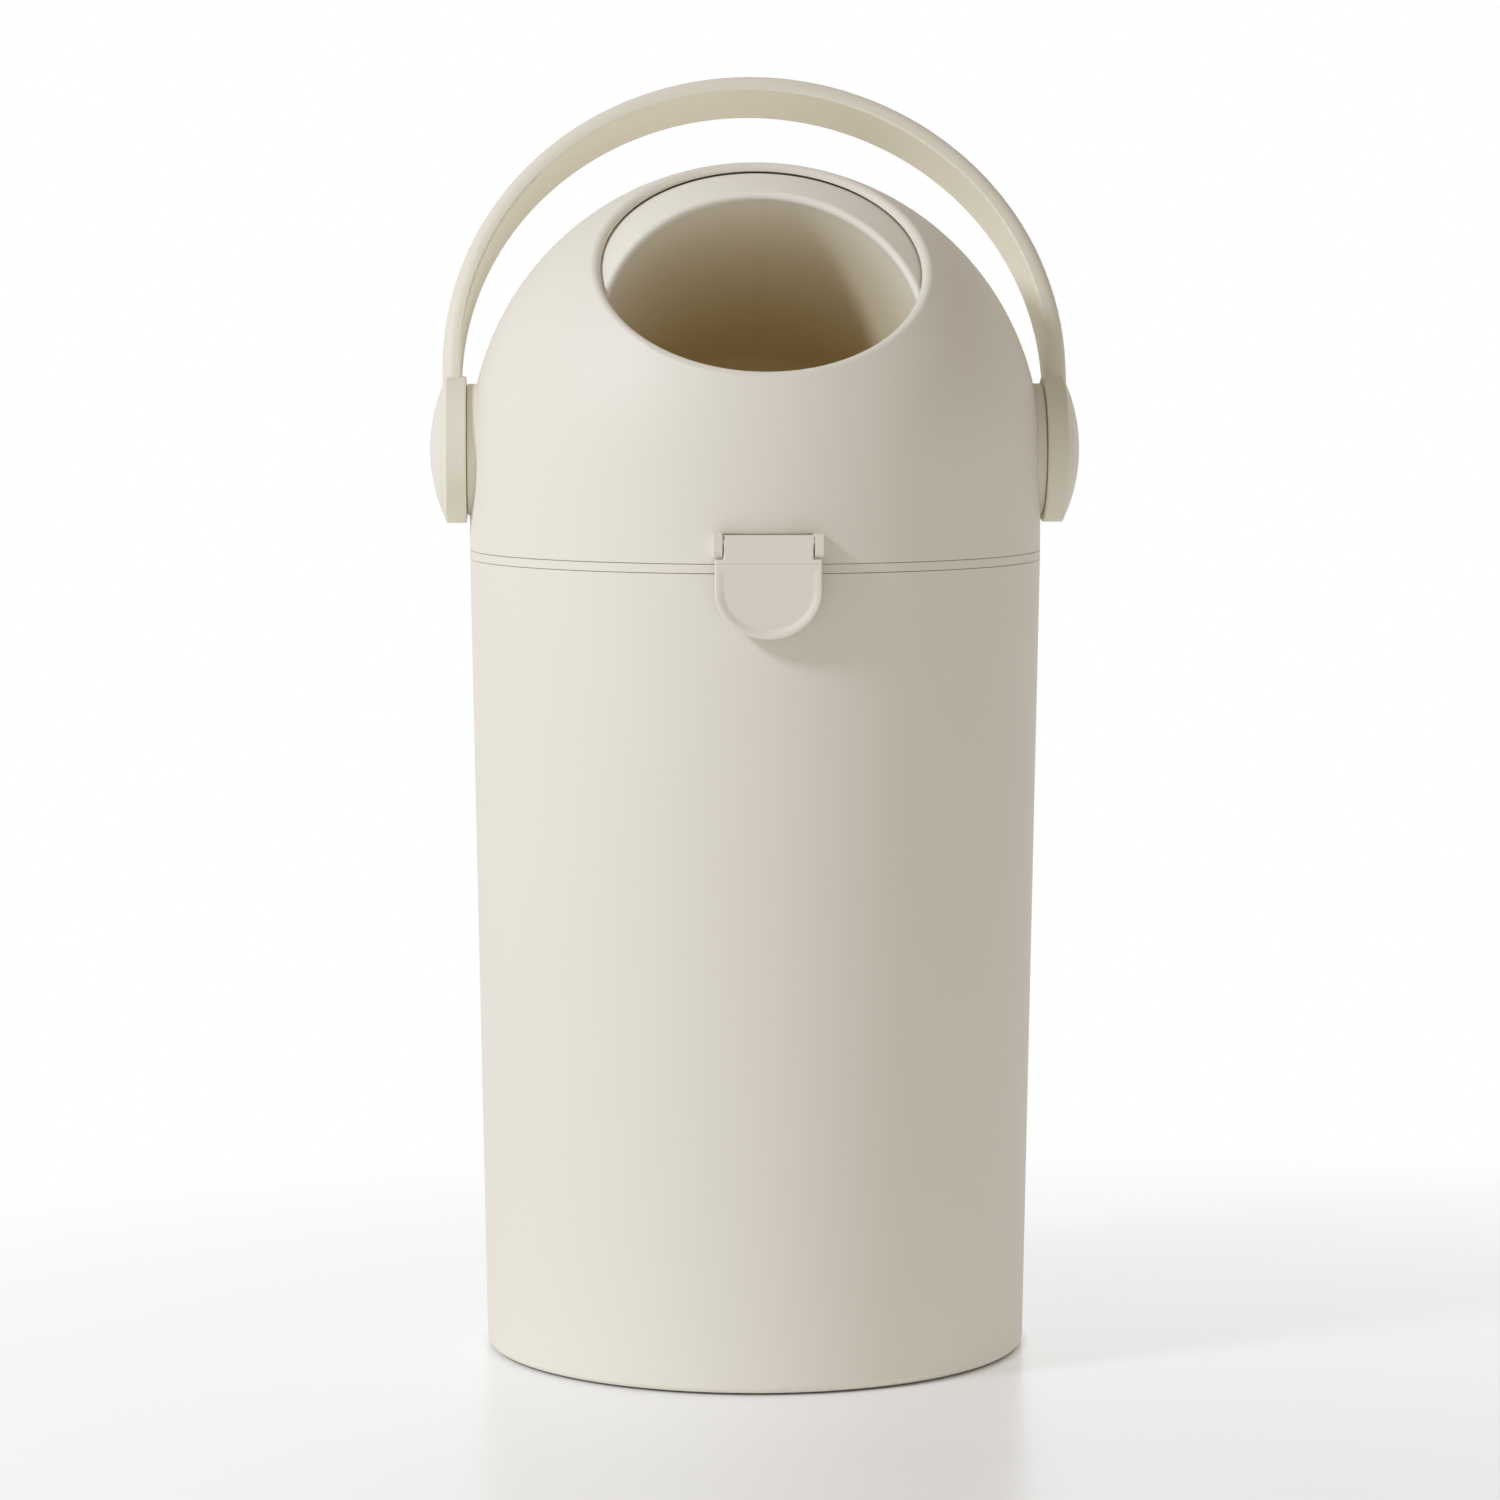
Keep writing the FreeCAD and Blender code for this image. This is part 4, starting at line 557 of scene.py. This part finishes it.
def floor_finish():
    """White floor that keeps the pail's shadow and gives light back, under a thin gloss near the pail."""
    material = bpy.data.materials.new("pale floor")
    material.use_nodes = True
    tree = material.node_tree
    tree.nodes.remove(tree.nodes["Principled BSDF"])
    chalk = add_node(tree, "ShaderNodeBsdfDiffuse", (0, 150), Color=CHALK)
    white = add_node(tree, "ShaderNodeEmission", (0, 0), Color=WHITE)
    gloss = add_node(tree, "ShaderNodeBsdfGlossy", (250, -100), Color=WHITE, Roughness=GLOSS_ROUGHNESS)
    seen, given, under, gloss_left = [distance_ramp(tree, -300 * row, *limits) for row, limits in enumerate(
        (SEEN_WHITE, GIVEN_WHITE, UNDER_PAIL, GLOSS_LEFT))]
    whiteness = add_node(tree, "ShaderNodeMix", (-400, 0))
    clear = add_sum(tree, "MULTIPLY", (-200, 0))
    edge_on = add_node(tree, "ShaderNodeFresnel", (0, 300), IOR=GLOSS_IOR)
    shine = add_sum(tree, "MULTIPLY", (250, 300))
    base = add_node(tree, "ShaderNodeMixShader", (250, 100))
    top = add_node(tree, "ShaderNodeMixShader", (500, 100))
    for source, target in (
            (seen_rays(tree, -1100), whiteness.inputs["Factor"]), (given, whiteness.inputs["A"]),
            (seen, whiteness.inputs["B"]), (whiteness.outputs["Result"], clear.inputs[0]),
            (under, clear.inputs[1]), (clear.outputs[0], base.inputs["Fac"]),
            (chalk.outputs["BSDF"], base.inputs[1]), (white.outputs["Emission"], base.inputs[2]),
            (edge_on.outputs["Fac"], shine.inputs[0]), (gloss_left, shine.inputs[1]),
            (shine.outputs[0], top.inputs["Fac"]), (base.outputs["Shader"], top.inputs[1]),
            (gloss.outputs["BSDF"], top.inputs[2]),
            (top.outputs["Shader"], tree.nodes["Material Output"].inputs["Surface"])):
        tree.links.new(source, target)
    return material


floor.data.materials.append(floor_finish())
print("floor finish:", floor.data.materials[0].name)

# %% [markdown]
# ## World
# For the rays that show it the world is plain white. For the light on the pail it is a weak warm grey, which
# fills the shadows. One white world for both would wash out the shading that shows how round the pail is.

# %% World
FILL_COLOUR, FILL_STRENGTH = (1.0, 0.89, 0.78, 1), 0.36
world = bpy.data.worlds.new("white studio")
bpy.context.scene.world = world
world.use_nodes = True
sky = world.node_tree
fill = sky.nodes["Background"]
fill.inputs["Color"].default_value = FILL_COLOUR
fill.inputs["Strength"].default_value = FILL_STRENGTH
backdrop = add_node(sky, "ShaderNodeBackground", (-50, -200), Color=WHITE, Strength=1.0)
choose = add_node(sky, "ShaderNodeMixShader", (200, 100))
sky.links.new(seen_rays(sky, -600), choose.inputs["Fac"])
sky.links.new(fill.outputs["Background"], choose.inputs[1])
sky.links.new(backdrop.outputs["Background"], choose.inputs[2])
sky.links.new(choose.outputs["Shader"], sky.nodes["World Output"].inputs["Surface"])
print("world:", world.name)

# %% [markdown]
# ## Light
# The photo is lit by one soft box from the left front, slightly cool against the warm fill. It is small
# enough that the mouth's rim and the latch flap throw shadows, and large enough to give them soft edges.

# %% Lamp
KEY_PLACE, KEY_TARGET = Vector((-2.345, -1.409, 2.175)), Vector((0, 0, 0.33))
KEY_SIZE, KEY_POWER, KEY_COLOUR = 0.5, 62, (0.82, 0.89, 1.0)
bpy.ops.object.select_all(action="DESELECT")
bpy.ops.object.light_add(type="AREA", location=KEY_PLACE)
key = bpy.context.object
key.name = "key light"
key.data.size = KEY_SIZE
key.data.energy = KEY_POWER
key.data.color = KEY_COLOUR
key.rotation_euler = (KEY_TARGET - KEY_PLACE).to_track_quat("-Z", "Y").to_euler()
print("lamp:", key.name, round(key.data.energy), "W")

# %% [markdown]
# ## Camera
# The camera was fitted to the photo: it stands a little to the left of the pail's front, somewhat higher than
# the handle's hubs, and looks slightly down through a long lens.

# %% Camera
CAMERA_PLACE, LOOKS_DOWN, LOOKS_RIGHT = (-0.1032, -2.4095, 0.5083), 5.31, 2.452
SENSOR, LENS, SHIFT = 36, 122.08, -5 / 1500
bpy.ops.object.select_all(action="DESELECT")
bpy.ops.object.camera_add(location=CAMERA_PLACE,
                          rotation=(math.radians(90 - LOOKS_DOWN), 0, math.radians(-LOOKS_RIGHT)))
camera = bpy.context.object
camera.name = "photo camera"
camera.data.sensor_width = SENSOR
camera.data.lens = LENS
camera.data.shift_x = SHIFT
bpy.context.scene.camera = camera
bpy.context.scene.view_settings.view_transform = "Standard"
print("camera:", [round(value, 3) for value in camera.location])
